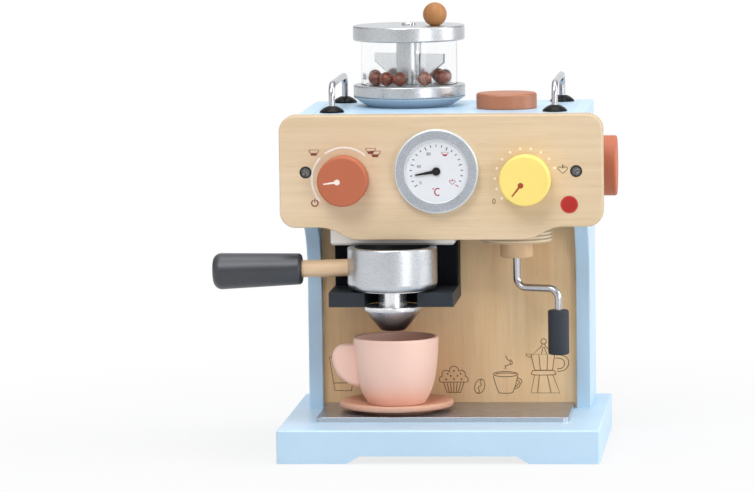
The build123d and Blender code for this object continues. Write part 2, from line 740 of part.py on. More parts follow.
def gauge_needle():
    """Tapered pointer with a round hub."""
    low = GAUGE_DIAL_T + FACE_GAP
    hub = puck(NEEDLE_HUB_D, NEEDLE_T, TOUCH_R, NEEDLE_HUB_R)
    outline = Polyline(
        (0, -NEEDLE_ROOT_W / 2),
        (NEEDLE_LENGTH, -NEEDLE_TIP_W / 2),
        (NEEDLE_LENGTH, NEEDLE_TIP_W / 2),
        (0, NEEDLE_ROOT_W / 2),
        close=True,
    )
    needle = hub + extrude(make_face(outline), NEEDLE_BLADE_T)
    needle -= upright(GAUGE_PIN_D, 0, 0, -CUT, GAUGE_PIN_SET)
    return at_gauge(Pos(0, 0, low) * Rot(0, 0, NEEDLE_REST_DEG) * needle)


def gauge_pin():
    """Pin that the needle sits on, through the dial and the panel."""
    low = GAUGE_DIAL_T + FACE_GAP
    end = -PANEL_T - FACE_GAP - GAUGE_CLIP_T
    return at_gauge(upright(GAUGE_PIN_D, 0, 0, end, low + GAUGE_PIN_SET))


def gauge_clip():
    """Push-on washer that keeps the needle's pin in the panel."""
    top = -PANEL_T - FACE_GAP
    clip = upright(GAUGE_CLIP_D, 0, 0, top - GAUGE_CLIP_T, top)
    return at_gauge(clip - upright(GAUGE_PIN_D, 0, 0, top - GAUGE_CLIP_T - CUT, top + CUT))


# ---- brewing group ----
def group_plate():
    """Silver block under the head, with bevelled lower edges."""
    front_y = HEAD_FRONT_Y + GROUP_PLATE_FRONT_GAP
    half_w = GROUP_PLATE_W / 2
    plate = block(
        GROUP_X - half_w, GROUP_X + half_w, front_y, BACK_PANEL_Y, GROUP_PLATE_Z, HEAD_FLOOR_Z
    )
    low = edges_at(plate, Axis.Z, GROUP_PLATE_Z) - edges_at(plate, Axis.Y, BACK_PANEL_Y)
    return chamfer(low, GROUP_BEVEL)


def bracket_block():
    """Black block between the shelf and the group plate, against the back panel."""
    half_w = BRACKET_BLOCK_W / 2
    body = block(
        GROUP_X - half_w, GROUP_X + half_w, BLOCK_FRONT_Y, BACK_PANEL_Y, SHELF_TOP_Z, GROUP_PLATE_Z
    )
    corners = edges_at(body, Axis.Y, BLOCK_FRONT_Y).filter_by(Axis.Z)
    body = fillet(corners, SHELF_CORNER_R)
    for x, z in bracket_screw_places():
        inner_y = BACK_PANEL_Y - BRACKET_SCREW_GRIP
        body -= bar(SCREW_D, (x, inner_y, z), (x, BACK_PANEL_Y + CUT, z))
    return body


def bracket_shelf():
    """Black shelf with the slot that the portafilter's neck slides into."""
    half_w = SHELF_W / 2
    front_y = BACK_PANEL_Y - SHELF_D
    shelf = block(GROUP_X - half_w, GROUP_X + half_w, front_y, BACK_PANEL_Y, SHELF_Z, SHELF_TOP_Z)
    corners = edges_at(shelf, Axis.Y, front_y).filter_by(Axis.Z)
    shelf = fillet(corners, SHELF_CORNER_R)
    low, high = SHELF_Z - CUT, SHELF_TOP_Z + CUT
    left, right = GROUP_X - SHELF_SLOT_W / 2, GROUP_X + SHELF_SLOT_W / 2
    slot = block(left, right, front_y - CUT, BASKET_Y, low, high)
    slot += upright(SHELF_SLOT_W, GROUP_X, BASKET_Y, low, high)
    return shelf - slot


# ---- portafilter ----
def along_handle(solid):
    """Lays a piece built along +Z out to the left of the basket, drooping a little."""
    return Pos(GROUP_X, BASKET_Y, HANDLE_Z) * Rot(0, -90 - HANDLE_DROOP_DEG, 0) * solid


def handle_dowel_blank():
    """The wooden dowel between the basket and the grip."""
    start = BASKET_D / 2 - HANDLE_DOWEL_SET
    return upright(HANDLE_DOWEL_D, 0, 0, start, HANDLE_GRIP_START + HANDLE_GRIP_BORE)


def portafilter_basket():
    """Silver cup with an open well for a pod and a hole for the handle's dowel."""
    height = BASKET_TOP_Z - BASKET_FOOT_Z
    basket = puck(BASKET_D, height - BASKET_RING_H, BASKET_FOOT_R, BASKET_LIP_R)
    basket = Pos(0, 0, BASKET_RING_H) * basket
    basket += upright(BASKET_RING_D, 0, 0, 0, BASKET_RING_H + CUT)
    well = puck(BASKET_D - 2 * BASKET_WALL, BASKET_WELL_DEPTH + CUT, BASKET_WELL_R, TOUCH_R)
    well = Pos(0, 0, height - BASKET_WELL_DEPTH) * well
    basket = Pos(GROUP_X, BASKET_Y, BASKET_FOOT_Z) * (basket - well)
    return basket - along_handle(handle_dowel_blank())


def portafilter_spout():
    """Neck and round spout below the shelf, turned in one piece."""
    top = SHELF_Z - SPOUT_TOP_GAP
    spout_r, end_r, neck_r = SPOUT_D / 2, SPOUT_END_D / 2, NECK_D / 2
    band_z = top - SPOUT_BAND_H
    outline = [
        (0, SPOUT_END_Z),
        (end_r, SPOUT_END_Z),
        (spout_r, band_z),
        (spout_r, top),
        (neck_r, top),
        (neck_r, BASKET_FOOT_Z),
        (0, BASKET_FOOT_Z),
    ]
    spout = round_end(turned(outline), Axis.Z, SPOUT_END_Z, SPOUT_ROUND)
    spout = round_end(spout, Axis.Z, band_z, SPOUT_BAND_R)
    rim = edges_at(spout, Axis.Z, top).sort_by(SortBy.LENGTH)[-1]
    return Pos(GROUP_X, BASKET_Y, 0) * fillet(rim, SPOUT_BAND_R / 2)


def portafilter_dowel():
    return along_handle(handle_dowel_blank())


def portafilter_grip():
    """Dark grip that widens towards its rounded end."""
    end = HANDLE_GRIP_START + HANDLE_GRIP_LENGTH
    outline = [
        (0, HANDLE_GRIP_START),
        (GRIP_INNER_D / 2, HANDLE_GRIP_START),
        (GRIP_OUTER_D / 2, end),
        (0, end),
    ]
    grip = turned(outline)
    grip = round_end(grip, Axis.Z, HANDLE_GRIP_START, GRIP_INNER_ROUND)
    grip = round_end(grip, Axis.Z, end, GRIP_OUTER_ROUND)
    return along_handle(grip - handle_dowel_blank())


# ---- steam wand ----
def wand_disc():
    """Round plywood pad under the head that the wand hangs from."""
    pad = upright(WAND_DISC_D, WAND_X, WAND_Y, WAND_DISC_Z, HEAD_FLOOR_Z)
    pad = round_end(pad, Axis.Z, WAND_DISC_Z, WAND_DISC_R)
    hole = WAND_TUBE_D + 2 * RUN_FIT
    return pad - upright(hole, WAND_X, WAND_Y, WAND_DISC_Z - CUT, HEAD_FLOOR_Z + CUT)


def wand_boss():
    """Turned wooden boss that guides the wand's tube."""
    low = WAND_DISC_Z - WAND_BOSS_H
    boss = upright(WAND_BOSS_D, WAND_X, WAND_Y, low, WAND_DISC_Z)
    boss = round_end(boss, Axis.Z, low, WAND_BOSS_R)
    hole = WAND_TUBE_D + 2 * RUN_FIT
    return boss - upright(hole, WAND_X, WAND_Y, low - CUT, WAND_DISC_Z + CUT)


def at_wand(solid):
    """Places a piece of the wand built with its pivot on the Z axis and its arm along X."""
    return Pos(WAND_X, WAND_Y, 0) * Rot(0, 0, WAND_REST_DEG) * solid


def wand_tube_blank():
    """Steel tube bent outward and down again."""
    points = [
        (0, 0, HEAD_TOP_Z + FACE_GAP + COLLAR_H),
        (0, 0, WAND_RUN_Z),
        (WAND_ARM, 0, WAND_RUN_Z),
        (WAND_ARM, 0, SLEEVE_TOP_Z - SLEEVE_GRIP),
    ]
    return bent_bar(WAND_TUBE_D, points, WAND_BEND_R)


def wand_tube():
    return at_wand(wand_tube_blank())


def wand_sleeve():
    """Dark sleeve on the wand's lower end."""
    sleeve = puck(SLEEVE_D, SLEEVE_LENGTH, SLEEVE_EDGE_R, SLEEVE_EDGE_R)
    sleeve = Pos(WAND_ARM, 0, SLEEVE_TOP_Z - SLEEVE_LENGTH) * sleeve
    bore = upright(WAND_TUBE_D, WAND_ARM, 0, SLEEVE_TOP_Z - SLEEVE_GRIP, SLEEVE_TOP_Z + CUT)
    return at_wand(sleeve - bore)


def wand_collar():
    """Collar on the tube above the head floor. It carries the wand."""
    low = HEAD_TOP_Z + FACE_GAP
    collar = upright(COLLAR_D, 0, 0, low, low + COLLAR_H)
    return at_wand(collar - upright(WAND_TUBE_D, 0, 0, low - CUT, low + COLLAR_H + CUT))


# ---- grinder ----
def at_grinder(solid):
    return Pos(GRINDER_X, GRINDER_Y, 0) * solid


def bolt_hole(fit, z0, z1):
    """Hole for the grinder's bolt, with a radial clearance."""
    return upright(BOLT_D + 2 * fit, 0, 0, z0 - CUT, z1 + CUT)


def grinder_plinth():
    """Blue plinth that flares out to the grinder's width."""
    outline = [
        (0, CASE_TOP_Z),
        (PLINTH_FOOT_D / 2, CASE_TOP_Z),
        (GRINDER_D / 2, PLINTH_TOP_Z - PLINTH_RIM),
        (GRINDER_D / 2, PLINTH_TOP_Z),
        (0, PLINTH_TOP_Z),
    ]
    return at_grinder(turned(outline) - bolt_hole(RUN_FIT, CASE_TOP_Z, PLINTH_TOP_Z))


def grinder_base():
    """Silver disc with the round groove that the hopper stands in."""
    disc = puck(GRINDER_D, GRINDER_BASE_H, GRINDER_EDGE_R, GRINDER_EDGE_R)
    disc = Pos(0, 0, PLINTH_TOP_Z) * disc
    seat_z = GRINDER_FLOOR_Z - HOPPER_SEAT
    groove = upright(HOPPER_D + 2 * HOPPER_SEAT_GAP, 0, 0, seat_z, GRINDER_FLOOR_Z + CUT)
    inner_d = HOPPER_D - 2 * HOPPER_WALL - 2 * HOPPER_SEAT_GAP
    groove -= upright(inner_d, 0, 0, seat_z - CUT, GRINDER_FLOOR_Z + 2 * CUT)
    return at_grinder(disc - groove - bolt_hole(RUN_FIT, PLINTH_TOP_Z, GRINDER_FLOOR_Z))


def hopper():
    """Clear cylinder that holds the beads."""
    low = GRINDER_FLOOR_Z - HOPPER_SEAT
    high = GRINDER_LID_Z - FACE_GAP
    wall = upright(HOPPER_D, 0, 0, low, high)
    return at_grinder(wall - upright(HOPPER_D - 2 * HOPPER_WALL, 0, 0, low - CUT, high + CUT))


def at_ball(solid):
    """Places a piece of the crank's ball, built about the Z axis."""
    turn = radians(BALL_DEG)
    x, y = GRINDER_X + BALL_REACH * cos(turn), GRINDER_Y + BALL_REACH * sin(turn)
    return Pos(x, y, 0) * solid


def ball_peg_blank():
    """Peg that joins the ball to the lid."""
    return upright(BALL_PEG_D, 0, 0, GRINDER_TOP_Z - BALL_PEG_SET, GRINDER_TOP_Z + BALL_D / 2)


def grinder_lid():
    """Silver lid that turns on the grinder's bolt and carries the ball."""
    lid = Pos(0, 0, GRINDER_LID_Z) * puck(GRINDER_D, GRINDER_LID_T, GRINDER_EDGE_R, GRINDER_EDGE_R)
    return at_grinder(lid - bolt_hole(0, GRINDER_LID_Z, GRINDER_TOP_Z)) - crank_peg()


def crank_peg():
    return at_ball(ball_peg_blank())


def crank_ball():
    """Wooden ball that turns the grinder, with a flat that rests on the lid."""
    ball = Pos(0, 0, GRINDER_TOP_Z + BALL_D / 2 - BALL_FLAT) * Sphere(BALL_D / 2)
    ball -= upright(BALL_D, 0, 0, GRINDER_TOP_Z - CUT, GRINDER_TOP_Z)
    return at_ball(ball - ball_peg_blank())


def paddle_blanks():
    """Two clear paddles, each let into the column."""
    root = COLUMN_D / 2 - PADDLE_SET
    foot_z = GRINDER_FLOOR_Z + FACE_GAP
    outline = Polyline(
        (root, 0, foot_z),
        (PADDLE_FOOT_HALF_W, 0, foot_z),
        (PADDLE_FOOT_HALF_W, 0, PADDLE_WAIST_Z),
        (PADDLE_TOP_HALF_W, 0, PADDLE_SHOULDER_Z),
        (PADDLE_TOP_HALF_W, 0, PADDLE_TOP_Z),
        (root, 0, PADDLE_TOP_Z),
        close=True,
    )
    wing = extrude(make_face(outline), PADDLE_T / 2, both=True)
    return [Rot(0, 0, PADDLE_DEG + turn) * wing for turn in (0, 180)]


def grinder_column():
    """Silver column that turns with the lid and holds the paddles."""
    low = GRINDER_FLOOR_Z + FACE_GAP
    column = upright(COLUMN_D, 0, 0, low, GRINDER_LID_Z)
    column -= bolt_hole(0, low, GRINDER_LID_Z)
    for wing in paddle_blanks():
        column -= wing
    return at_grinder(column)


def grinder_paddles():
    return Compound(children=[at_grinder(wing) for wing in paddle_blanks()])


def grinder_bolt():
    """Dome-headed bolt that the lid, column and nut turn with."""
    nut_low = TOP_UNDER_Z - FACE_GAP - BOLT_NUT_H
    shank = upright(BOLT_D, 0, 0, nut_low, GRINDER_TOP_Z)
    head = Pos(0, 0, GRINDER_TOP_Z) * puck(BOLT_HEAD_D, BOLT_HEAD_H, TOUCH_R, BOLT_HEAD_H)
    return at_grinder(shank + head)


def grinder_nut():
    """Nut under the top plate."""
    high = TOP_UNDER_Z - FACE_GAP
    low = high - BOLT_NUT_H
    return at_grinder(hexagon(BOLT_NUT_AF, 0, 0, low, high) - bolt_hole(0, low, high))


def coffee_beads():
    """Wooden beads that lie in the hopper."""
    z = GRINDER_FLOOR_Z + SAG_GAP + BEAD_D / 2
    beads = []
    for turn in BEAD_DEGREES:
        x, y = BEAD_RING_R * cos(radians(turn)), BEAD_RING_R * sin(radians(turn))
        beads.append(at_grinder(Pos(x, y, z) * Sphere(BEAD_D / 2)))
    return Compound(children=beads)


# ---- cap and rails on top ----
def tank_cap():
    """Lift-off cap with a spigot that drops into the top plate."""
    cap = Pos(0, 0, CASE_TOP_Z) * puck(CAP_D, CAP_H, CAP_EDGE_R / 2, CAP_EDGE_R)
    spigot = upright(CAP_SPIGOT_D, 0, 0, CASE_TOP_Z - CAP_SPIGOT_H, CASE_TOP_Z + CUT)
    return Pos(CAP_X, CAP_Y, 0) * (cap + spigot)


def top_rails():
    """Two bent bars that guard the top, one at each side."""
    low = TOP_UNDER_Z - RAIL_THREAD
    run_z = RAIL_TOP_Z - RAIL_D / 2
    rails = []
    for x in (-RAIL_X, RAIL_X):
        points = [
            (x, RAIL_FRONT_Y, low),
            (x, RAIL_FRONT_Y, run_z),
            (x, RAIL_BACK_Y, run_z),
            (x, RAIL_BACK_Y, low),
        ]
        rails.append(bent_bar(RAIL_D, points, RAIL_BEND_R))
    return Compound(children=rails)


def rail_feet():
    """Four domed collars where the rails enter the top plate."""
    low = Vector(RAIL_FOOT_D / 2, 0, RAIL_FOOT_RIM)
    high = Vector(RAIL_FOOT_TOP_D / 2, 0, RAIL_FOOT_H)
    flank = high - low
    swell = Vector(flank.Z, 0, -flank.X).normalized() * RAIL_FOOT_BULGE
    dome = ThreePointArc(low, low + flank / 2 + swell, high)
    rest = Polyline(high, (0, 0, RAIL_FOOT_H), (0, 0, 0), (RAIL_FOOT_D / 2, 0, 0), low)
    foot = revolve(make_face(dome + rest), Axis.Z)
    foot -= upright(RAIL_D, 0, 0, -CUT, RAIL_FOOT_H + CUT)
    return Compound(children=[Pos(x, y, CASE_TOP_Z) * foot for x, y in RAIL_PLACES])


def rail_nuts():
    """Four nuts that hold the rails from inside."""
    nuts = []
    for x, y in RAIL_PLACES:
        nut = hexagon(RAIL_NUT_AF, x, y, TOP_UNDER_Z - RAIL_NUT_H, TOP_UNDER_Z)
        nuts.append(nut - upright(RAIL_D, x, y, TOP_UNDER_Z - RAIL_NUT_H - CUT, TOP_UNDER_Z + CUT))
    return Compound(children=nuts)


# ---- saucer and cup ----
def saucer():
    """Round saucer on a low foot, pushed back against the back panel."""
    foot_r, rim_r, well_r = SAUCER_FOOT_D / 2, SAUCER_D / 2, SAUCER_WELL_D / 2
    outline = [
        (0, 0),
        (foot_r, 0),
        (foot_r + SAUCER_FOOT_H, SAUCER_FOOT_H),
        (rim_r, SAUCER_RIM_H - SAUCER_RIM_T),
        (rim_r, SAUCER_RIM_H),
        (rim_r - SAUCER_RIM_T / 2, SAUCER_RIM_H),
        (well_r, SAUCER_WELL_H),
        (0, SAUCER_WELL_H),
    ]
    dish = turned(outline)
    rim = dish.edges().filter_by(GeomType.CIRCLE)
    rim = rim.filter_by(lambda edge: edge.radius > rim_r - TOUCH_R)
    return Pos(SAUCER_X, SAUCER_Y, TRAY_TOP_Z) * fillet(rim, SAUCER_RIM_T * 0.45)


def cup_form(outline):
    """A turned bowl from points up its side, given as radius and height."""
    side = Spline(*[(r, 0, z) for r, z in outline])
    (foot_r, foot_z), (rim_r, rim_z) = outline[0], outline[-1]
    rest = Polyline((rim_r, 0, rim_z), (0, 0, rim_z), (0, 0, foot_z), (foot_r, 0, foot_z))
    return revolve(make_face(side + rest), Axis.Z)


def cup_ear():
    """Solid ear on the left of the cup, rounded more tightly above than below."""
    belly_r = EAR_REACH - CUP_LOW_D / 2
    lobe_x, root_x = EAR_LOBE_R - EAR_REACH, belly_r - EAR_REACH
    wide_z, half = EAR_TOP_H - EAR_LOBE_R, cos(radians(45))
    top, tip, foot = (lobe_x, EAR_TOP_H), (-EAR_REACH, wide_z), (root_x, wide_z - belly_r)
    upper = ThreePointArc(top, (lobe_x - EAR_LOBE_R * half, wide_z + EAR_LOBE_R * half), tip)
    lower = ThreePointArc(tip, (root_x - belly_r * half, wide_z - belly_r * half), foot)
    outline = make_face(upper + lower + Polyline(foot, (root_x, EAR_TOP_H), top))
    ear = Rot(90, 0, 0) * extrude(outline, EAR_T / 2, both=True)
    return fillet(ear.edges(), EAR_ROUND)


def cup():
    """Tapering cup with a solid ear and an open inside."""
    outside = [
        (CUP_FOOT_D / 2, 0),
        (CUP_LOW_D / 2, CUP_LOW_H),
        (CUP_BELLY_D / 2, CUP_BELLY_H),
        (CUP_RIM_D / 2, CUP_H),
    ]
    inside = [
        (CUP_FOOT_D / 2 - CUP_WALL / 2, CUP_FLOOR_T),
        (CUP_BELLY_D / 2 - CUP_WALL, CUP_BELLY_H),
        (CUP_RIM_D / 2 - CUP_WALL, CUP_H),
    ]
    body = round_end(cup_form(outside), Axis.Z, 0, CUP_FOOT_R) + cup_ear()
    body -= cup_form(inside)
    body = round_end(body, Axis.Z, CUP_H, CUP_WALL * 0.4)
    return Pos(SAUCER_X, SAUCER_Y, CUP_FOOT_Z) * body


PIECES = [
    base_deck, base_front_apron, base_rear_apron, base_side_aprons, base_cross_rib, drip_tray,
    left_side_panel, right_side_panel, back_panel, rear_panel, top_plate, head_floor, front_panel,
    front_panel_screws, side_panel_screws, bracket_screws,
    left_knob, left_knob_axle, left_knob_screw,
    right_knob, right_knob_axle, right_knob_screw,
    steam_knob, steam_knob_axle, steam_knob_screw,
    red_lamp, gauge_ring, gauge_dial, gauge_needle, gauge_pin, gauge_clip,
    group_plate, bracket_block, bracket_shelf,
    portafilter_basket, portafilter_spout, portafilter_dowel, portafilter_grip,
    wand_disc, wand_boss, wand_tube, wand_sleeve, wand_collar,
    grinder_plinth, grinder_base, hopper, grinder_lid, grinder_column, grinder_paddles,
    grinder_bolt, grinder_nut, crank_peg, crank_ball, coffee_beads,
    tank_cap, top_rails, rail_feet, rail_nuts, saucer, cup,
]


def main():
    os.makedirs("parts", exist_ok=True)
    for make in PIECES:
        export_step(make(), f"parts/{make.__name__}.step")


main()
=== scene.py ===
import math

import bpy
from mathutils import Matrix, Vector


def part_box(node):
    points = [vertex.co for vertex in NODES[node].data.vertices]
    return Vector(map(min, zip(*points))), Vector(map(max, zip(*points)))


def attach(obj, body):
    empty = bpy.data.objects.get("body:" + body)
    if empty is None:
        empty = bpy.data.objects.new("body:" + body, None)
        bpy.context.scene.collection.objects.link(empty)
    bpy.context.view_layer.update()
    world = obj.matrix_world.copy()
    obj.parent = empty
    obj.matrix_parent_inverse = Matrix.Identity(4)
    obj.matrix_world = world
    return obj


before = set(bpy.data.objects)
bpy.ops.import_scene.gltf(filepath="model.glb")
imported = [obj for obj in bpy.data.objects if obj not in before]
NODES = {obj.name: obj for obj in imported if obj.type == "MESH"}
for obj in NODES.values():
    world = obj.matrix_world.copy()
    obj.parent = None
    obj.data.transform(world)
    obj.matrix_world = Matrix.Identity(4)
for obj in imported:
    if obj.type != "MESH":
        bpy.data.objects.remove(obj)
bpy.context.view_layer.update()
MM = 0.001

# Camera, worked out for a frame of 754 x 492 pixels.
CAMERA_PLACE = (274.24 * MM, -3494.87 * MM, 497.38 * MM)
CAMERA_AZIMUTH = math.radians(5.2849)
CAMERA_ELEVATION = math.radians(5.7937)
CAMERA_ROLL = math.radians(-0.7511)
CAMERA_LENS = 238.3

# Printed and burnt marks stand this far out of the face that carries them.
PRINT_RISE = 0.06 * MM
PLY_T = 1.25 * MM  # one layer of the plywood

# Places and sizes on the solids that finishes and prints follow, in metres.
WELL_R, WELL_DEPTH = 26.5 * MM, 24.5 * MM
# Painted shade on the spout's silver runs between these heights.
SPOUT_SHADE_FROM, SPOUT_SHADE_TO = 1 * MM, 17 * MM  # above the spout's tip
RING_INNER_R, RING_OUTER_R = 21.75 * MM, 29.5 * MM
LAMP_R = 6.2 * MM
SCREW_RECESS_R = 3.3 * MM

# Marks round the dial and the knobs, in millimetres.
TICK_RING_R = 18.6
DOT_RING_R, DOT_D = 21.5, 1.9
ARC_R, ARC_WIDTH = 22.5, 1.5


# ---------------------------------------------------------------- shader maths
class Value:
    """A node's socket that can be used in plain arithmetic."""

    def __init__(self, graph, socket):
        self.graph, self.socket = graph, socket

    def _join(self, operation, a, b=None):
        return self.graph.node("ShaderNodeMath", {"operation": operation}, [a] if b is None else [a, b])

    def __add__(self, other):
        return self._join("ADD", self, other)

    def __sub__(self, other):
        return self._join("SUBTRACT", self, other)

    def __rsub__(self, other):
        return self._join("SUBTRACT", other, self)

    def __mul__(self, other):
        return self._join("MULTIPLY", self, other)

    __rmul__ = __mul__

    def __truediv__(self, other):
        return self._join("DIVIDE", self, other)

    def __pow__(self, other):
        return self._join("POWER", self, other)

    def __gt__(self, other):
        return self._join("GREATER_THAN", self, other)

    def __abs__(self):
        return self._join("ABSOLUTE", self)

    def __mod__(self, other):
        return self._join("MODULO", self, other)

    def sine(self):
        return self._join("SINE", self)

    def cosine(self):
        return self._join("COSINE", self)

    def part(self):
        """What is left of a number after its whole part."""
        return self._join("FRACT", self)

    def least(self, other):
        return self._join("MINIMUM", self, other)

    def most(self, other):
        return self._join("MAXIMUM", self, other)

    def root(self):
        return self._join("SQRT", self)


class Graph:
    """A node tree that is written as arithmetic on values."""

    def __init__(self, tree):
        self.tree = tree
        tree.nodes.clear()

    def node(self, kind, settings=None, inputs=None, out=0):
        """Adds a node: its settings first, then the values or links of its inputs."""
        made = self.tree.nodes.new(kind)
        for key, value in (settings or {}).items():
            if key == "stops":
                self._set_stops(made.color_ramp, value)
            else:
                setattr(made, key, value)
        named = inputs.items() if isinstance(inputs, dict) else enumerate(inputs or [])
        for key, value in named:
            if isinstance(value, Value):
                self.tree.links.new(value.socket, made.inputs[key])
            else:
                made.inputs[key].default_value = value
        return Value(self, made.outputs[out])

    @staticmethod
    def _set_stops(ramp, stops):
        while len(ramp.elements) < len(stops):
            ramp.elements.new(0.5)
        for element, (position, colour) in zip(ramp.elements, stops):
            element.position = position
            element.color = rgba(colour)

    def join(self, x, y, z):
        return self.node("ShaderNodeCombineXYZ", inputs=[x, y, z])

    def spread(self, value, low, high, to_low=0.0, to_high=1.0):
        """Maps a range of numbers onto another, clamped."""
        return self.node("ShaderNodeMapRange", {"clamp": True}, [value, low, high, to_low, to_high])

    def ramp(self, value, *stops):
        """A grey level along straight lines between stops, each a place and a level."""
        return self.node("ShaderNodeValToRGB", {"stops": [(at, [level] * 3) for at, level in stops]}, [value])

    def split(self, vector):
        made = self.tree.nodes.new("ShaderNodeSeparateXYZ")
        self.tree.links.new(vector.socket, made.inputs[0])
        return [Value(self, made.outputs[i]) for i in range(3)]


class Finish(Graph):
    """A material built from shader arithmetic round one Principled BSDF."""

    def __init__(self, name):
        self.material = bpy.data.materials.new(name)
        self.material.use_nodes = True
        super().__init__(self.material.node_tree)
        self.shader = self.tree.nodes.new("ShaderNodeBsdfPrincipled")
        output = self.tree.nodes.new("ShaderNodeOutputMaterial")
        self.tree.links.new(self.shader.outputs[0], output.inputs[0])
        self.place = self.node("ShaderNodeTexCoord", out="Object")
        self.x, self.y, self.z = self.split(self.place)

    def stretched(self, factors):
        """Object coordinates times a factor along each axis."""
        return self.node("ShaderNodeVectorMath", {"operation": "MULTIPLY"}, [self.place, factors])

    def noise(self, scale, detail=2.0, roughness=0.5, vector=None, distortion=0.0):
        inputs = {"Vector": vector or self.place, "Scale": scale, "Detail": detail}
        inputs.update({"Roughness": roughness, "Distortion": distortion})
        return self.node("ShaderNodeTexNoise", {"noise_dimensions": "3D"}, inputs)

    def cells(self, scale, out):
        return self.node("ShaderNodeTexVoronoi", inputs={"Vector": self.place, "Scale": scale}, out=out)

    def away_from(self, axis, centre):
        """Distance from a line along an axis through a point, in metres."""
        flat = [(self.x - centre[0]), (self.y - centre[1]), (self.z - centre[2])]
        one, two = [part for name, part in zip("XYZ", flat) if name != axis]
        return (one * one + two * two).root()

    def mix(self, factor, a, b):
        """Mixes two colours."""
        colours = {"Factor": factor, 6: a if isinstance(a, Value) else rgba(a)}
        colours[7] = b if isinstance(b, Value) else rgba(b)
        return self.node("ShaderNodeMix", {"data_type": "RGBA"}, colours, out=2)

    def facing(self, axis):
        """How far the surface faces along an axis, from 0 to 1."""
        normal = self.node("ShaderNodeTexCoord", out="Normal")
        return abs(self.split(normal)["XYZ".index(axis)])

    def bump(self, height, depth, strength=1.0):
        inputs = {"Strength": strength, "Distance": depth, "Height": height}
        return self.node("ShaderNodeBump", inputs=inputs, out="Normal")

    def done(self, **sockets):
        """Sets the Principled BSDF's sockets by name and gives the material."""
        for key, value in sockets.items():
            name = key.replace("_", " ")
            if isinstance(value, Value):
                self.tree.links.new(value.socket, self.shader.inputs[name])
            else:
                self.shader.inputs[name].default_value = value
        return self.material


def rgba(colour):
    return tuple(colour) if len(colour) == 4 else (*colour, 1.0)


def srgb(red, green, blue):
    """Linear colour from 8-bit display values."""
    def linear(value):
        value /= 255
        return value / 12.92 if value <= 0.04045 else ((value + 0.055) / 1.055) ** 2.4
    return tuple(linear(value) for value in (red, green, blue))


def shade(colour, factor):
    return tuple(channel * factor for channel in colour)


# ---------------------------------------------------------------- finishes
def painted_board(name, colour, roughness=0.38):
    """Sprayed satin paint over board: faint orange peel and the softest mottling."""
    f = Finish(name)
    mottle = f.noise(14, 3)
    peel = f.noise(900, 2)
    dust = f.noise(2600, 1)
    base = f.mix(f.spread(mottle, 0.35, 0.65), shade(colour, 0.965), shade(colour, 1.02))
    rough = f.spread(mottle + 0.4 * dust, 0.5, 0.9, roughness - 0.04, roughness + 0.06)
    normal = f.bump(peel + 0.3 * dust, 0.02 * MM, 0.6)
    return f.done(Base_Color=base, Roughness=rough, Specular_IOR_Level=0.9, Normal=normal)


def matt_paint(name, colour, roughness=0.55, shine=0.5):
    """Thick matt paint over turned wood: soft mottling and a dust-fine surface."""
    f = Finish(name)
    mottle = f.noise(26, 3)
    fine = f.noise(1300, 2)
    base = f.mix(f.spread(mottle + 0.12 * fine, 0.36, 0.76), shade(colour, 0.965), shade(colour, 1.02))
    rough = f.spread(fine, 0.3, 0.7, roughness - 0.04, roughness + 0.05)
    normal = f.bump(fine + 0.5 * mottle, 0.02 * MM, 0.5)
    return f.done(Base_Color=base, Roughness=rough, Specular_IOR_Level=shine, Normal=normal)


def bare_wood(name, light, dark, grain_axis, ply_axis=None, figure=1.0, roughness=0.5):
    """Pale wood: long soft figure, fine pores, and the layers of plywood on cut edges."""
    f = Finish(name)
    axis = "XYZ".index(grain_axis)
    slow, fine, pore = [26.0] * 3, [260.0] * 3, [1500.0] * 3
    slow[axis], fine[axis], pore[axis] = 3.5, 9.0, 60.0
    wander = f.noise(4.0, 2)
    figure_noise = f.noise(1.0, 3, 0.55, f.stretched(slow), 0.8)
    streaks = f.noise(1.0, 4, 0.65, f.stretched(fine))
    pores = f.noise(1.0, 2, 0.7, f.stretched(pore))
    tone = figure * 0.62 * f.spread(figure_noise, 0.3, 0.7) + 0.38 * f.spread(streaks, 0.3, 0.7)
    tone = tone + 0.25 * (wander - 0.5)
    base = f.mix(f.spread(tone, 0.05, 0.95), light, dark)
    ticks = f.spread(pores, 0.60, 0.72)
    base = f.mix(0.22 * ticks, base, shade(dark, 0.55))
    height = streaks - 0.6 * ticks
    rough = f.spread(streaks, 0.3, 0.7, roughness - 0.06, roughness + 0.06)
    if ply_axis:
        across = f.split(f.place)["XYZ".index(ply_axis)]
        layer = (across / (2 * PLY_T)).part()
        is_dark = f.spread(abs(layer - 0.5), 0.23, 0.27)
        edge_grain = f.noise(700, 3)
        pale_ply = f.mix(edge_grain, shade(light, 0.92), shade(light, 1.02))
        dark_ply = f.mix(edge_grain, shade(dark, 0.50), shade(dark, 0.72))
        plies = f.mix(is_dark, pale_ply, dark_ply)
        cut_edge = f.spread(f.facing(ply_axis), 0.55, 0.35)
        base = f.mix(cut_edge, base, plies)
        height = height - 0.5 * cut_edge * is_dark
    return f.done(Base_Color=base, Roughness=rough, Normal=f.bump(height, 0.06 * MM, 0.6))


def silver_coat(f, low, high, grit):
    """Colour, roughness and bump of metallic paint with fine flakes and soft clouds."""
    flake = f.split(f.cells(3000, "Color"))[0]
    clouds = f.noise(1100, 3, 0.7)
    slow = f.noise(60, 2)
    tone = f.spread(0.5 * flake + 0.5 * clouds + 0.3 * slow, 0.25, 1.05)
    rough = f.spread(flake, 0.0, 1.0, grit - 0.04, grit + 0.07)
    return f.mix(tone, low, high), rough, f.bump(flake + clouds, 0.018 * MM, 0.4)


def silver_paint(name):
    """Metallic paint with a fine sparkle."""
    f = Finish(name)
    base, rough, normal = silver_coat(f, (0.42, 0.435, 0.455), (0.66, 0.675, 0.695), 0.29)
    return f.done(Base_Color=base, Metallic=0.9, Roughness=rough, Normal=normal)


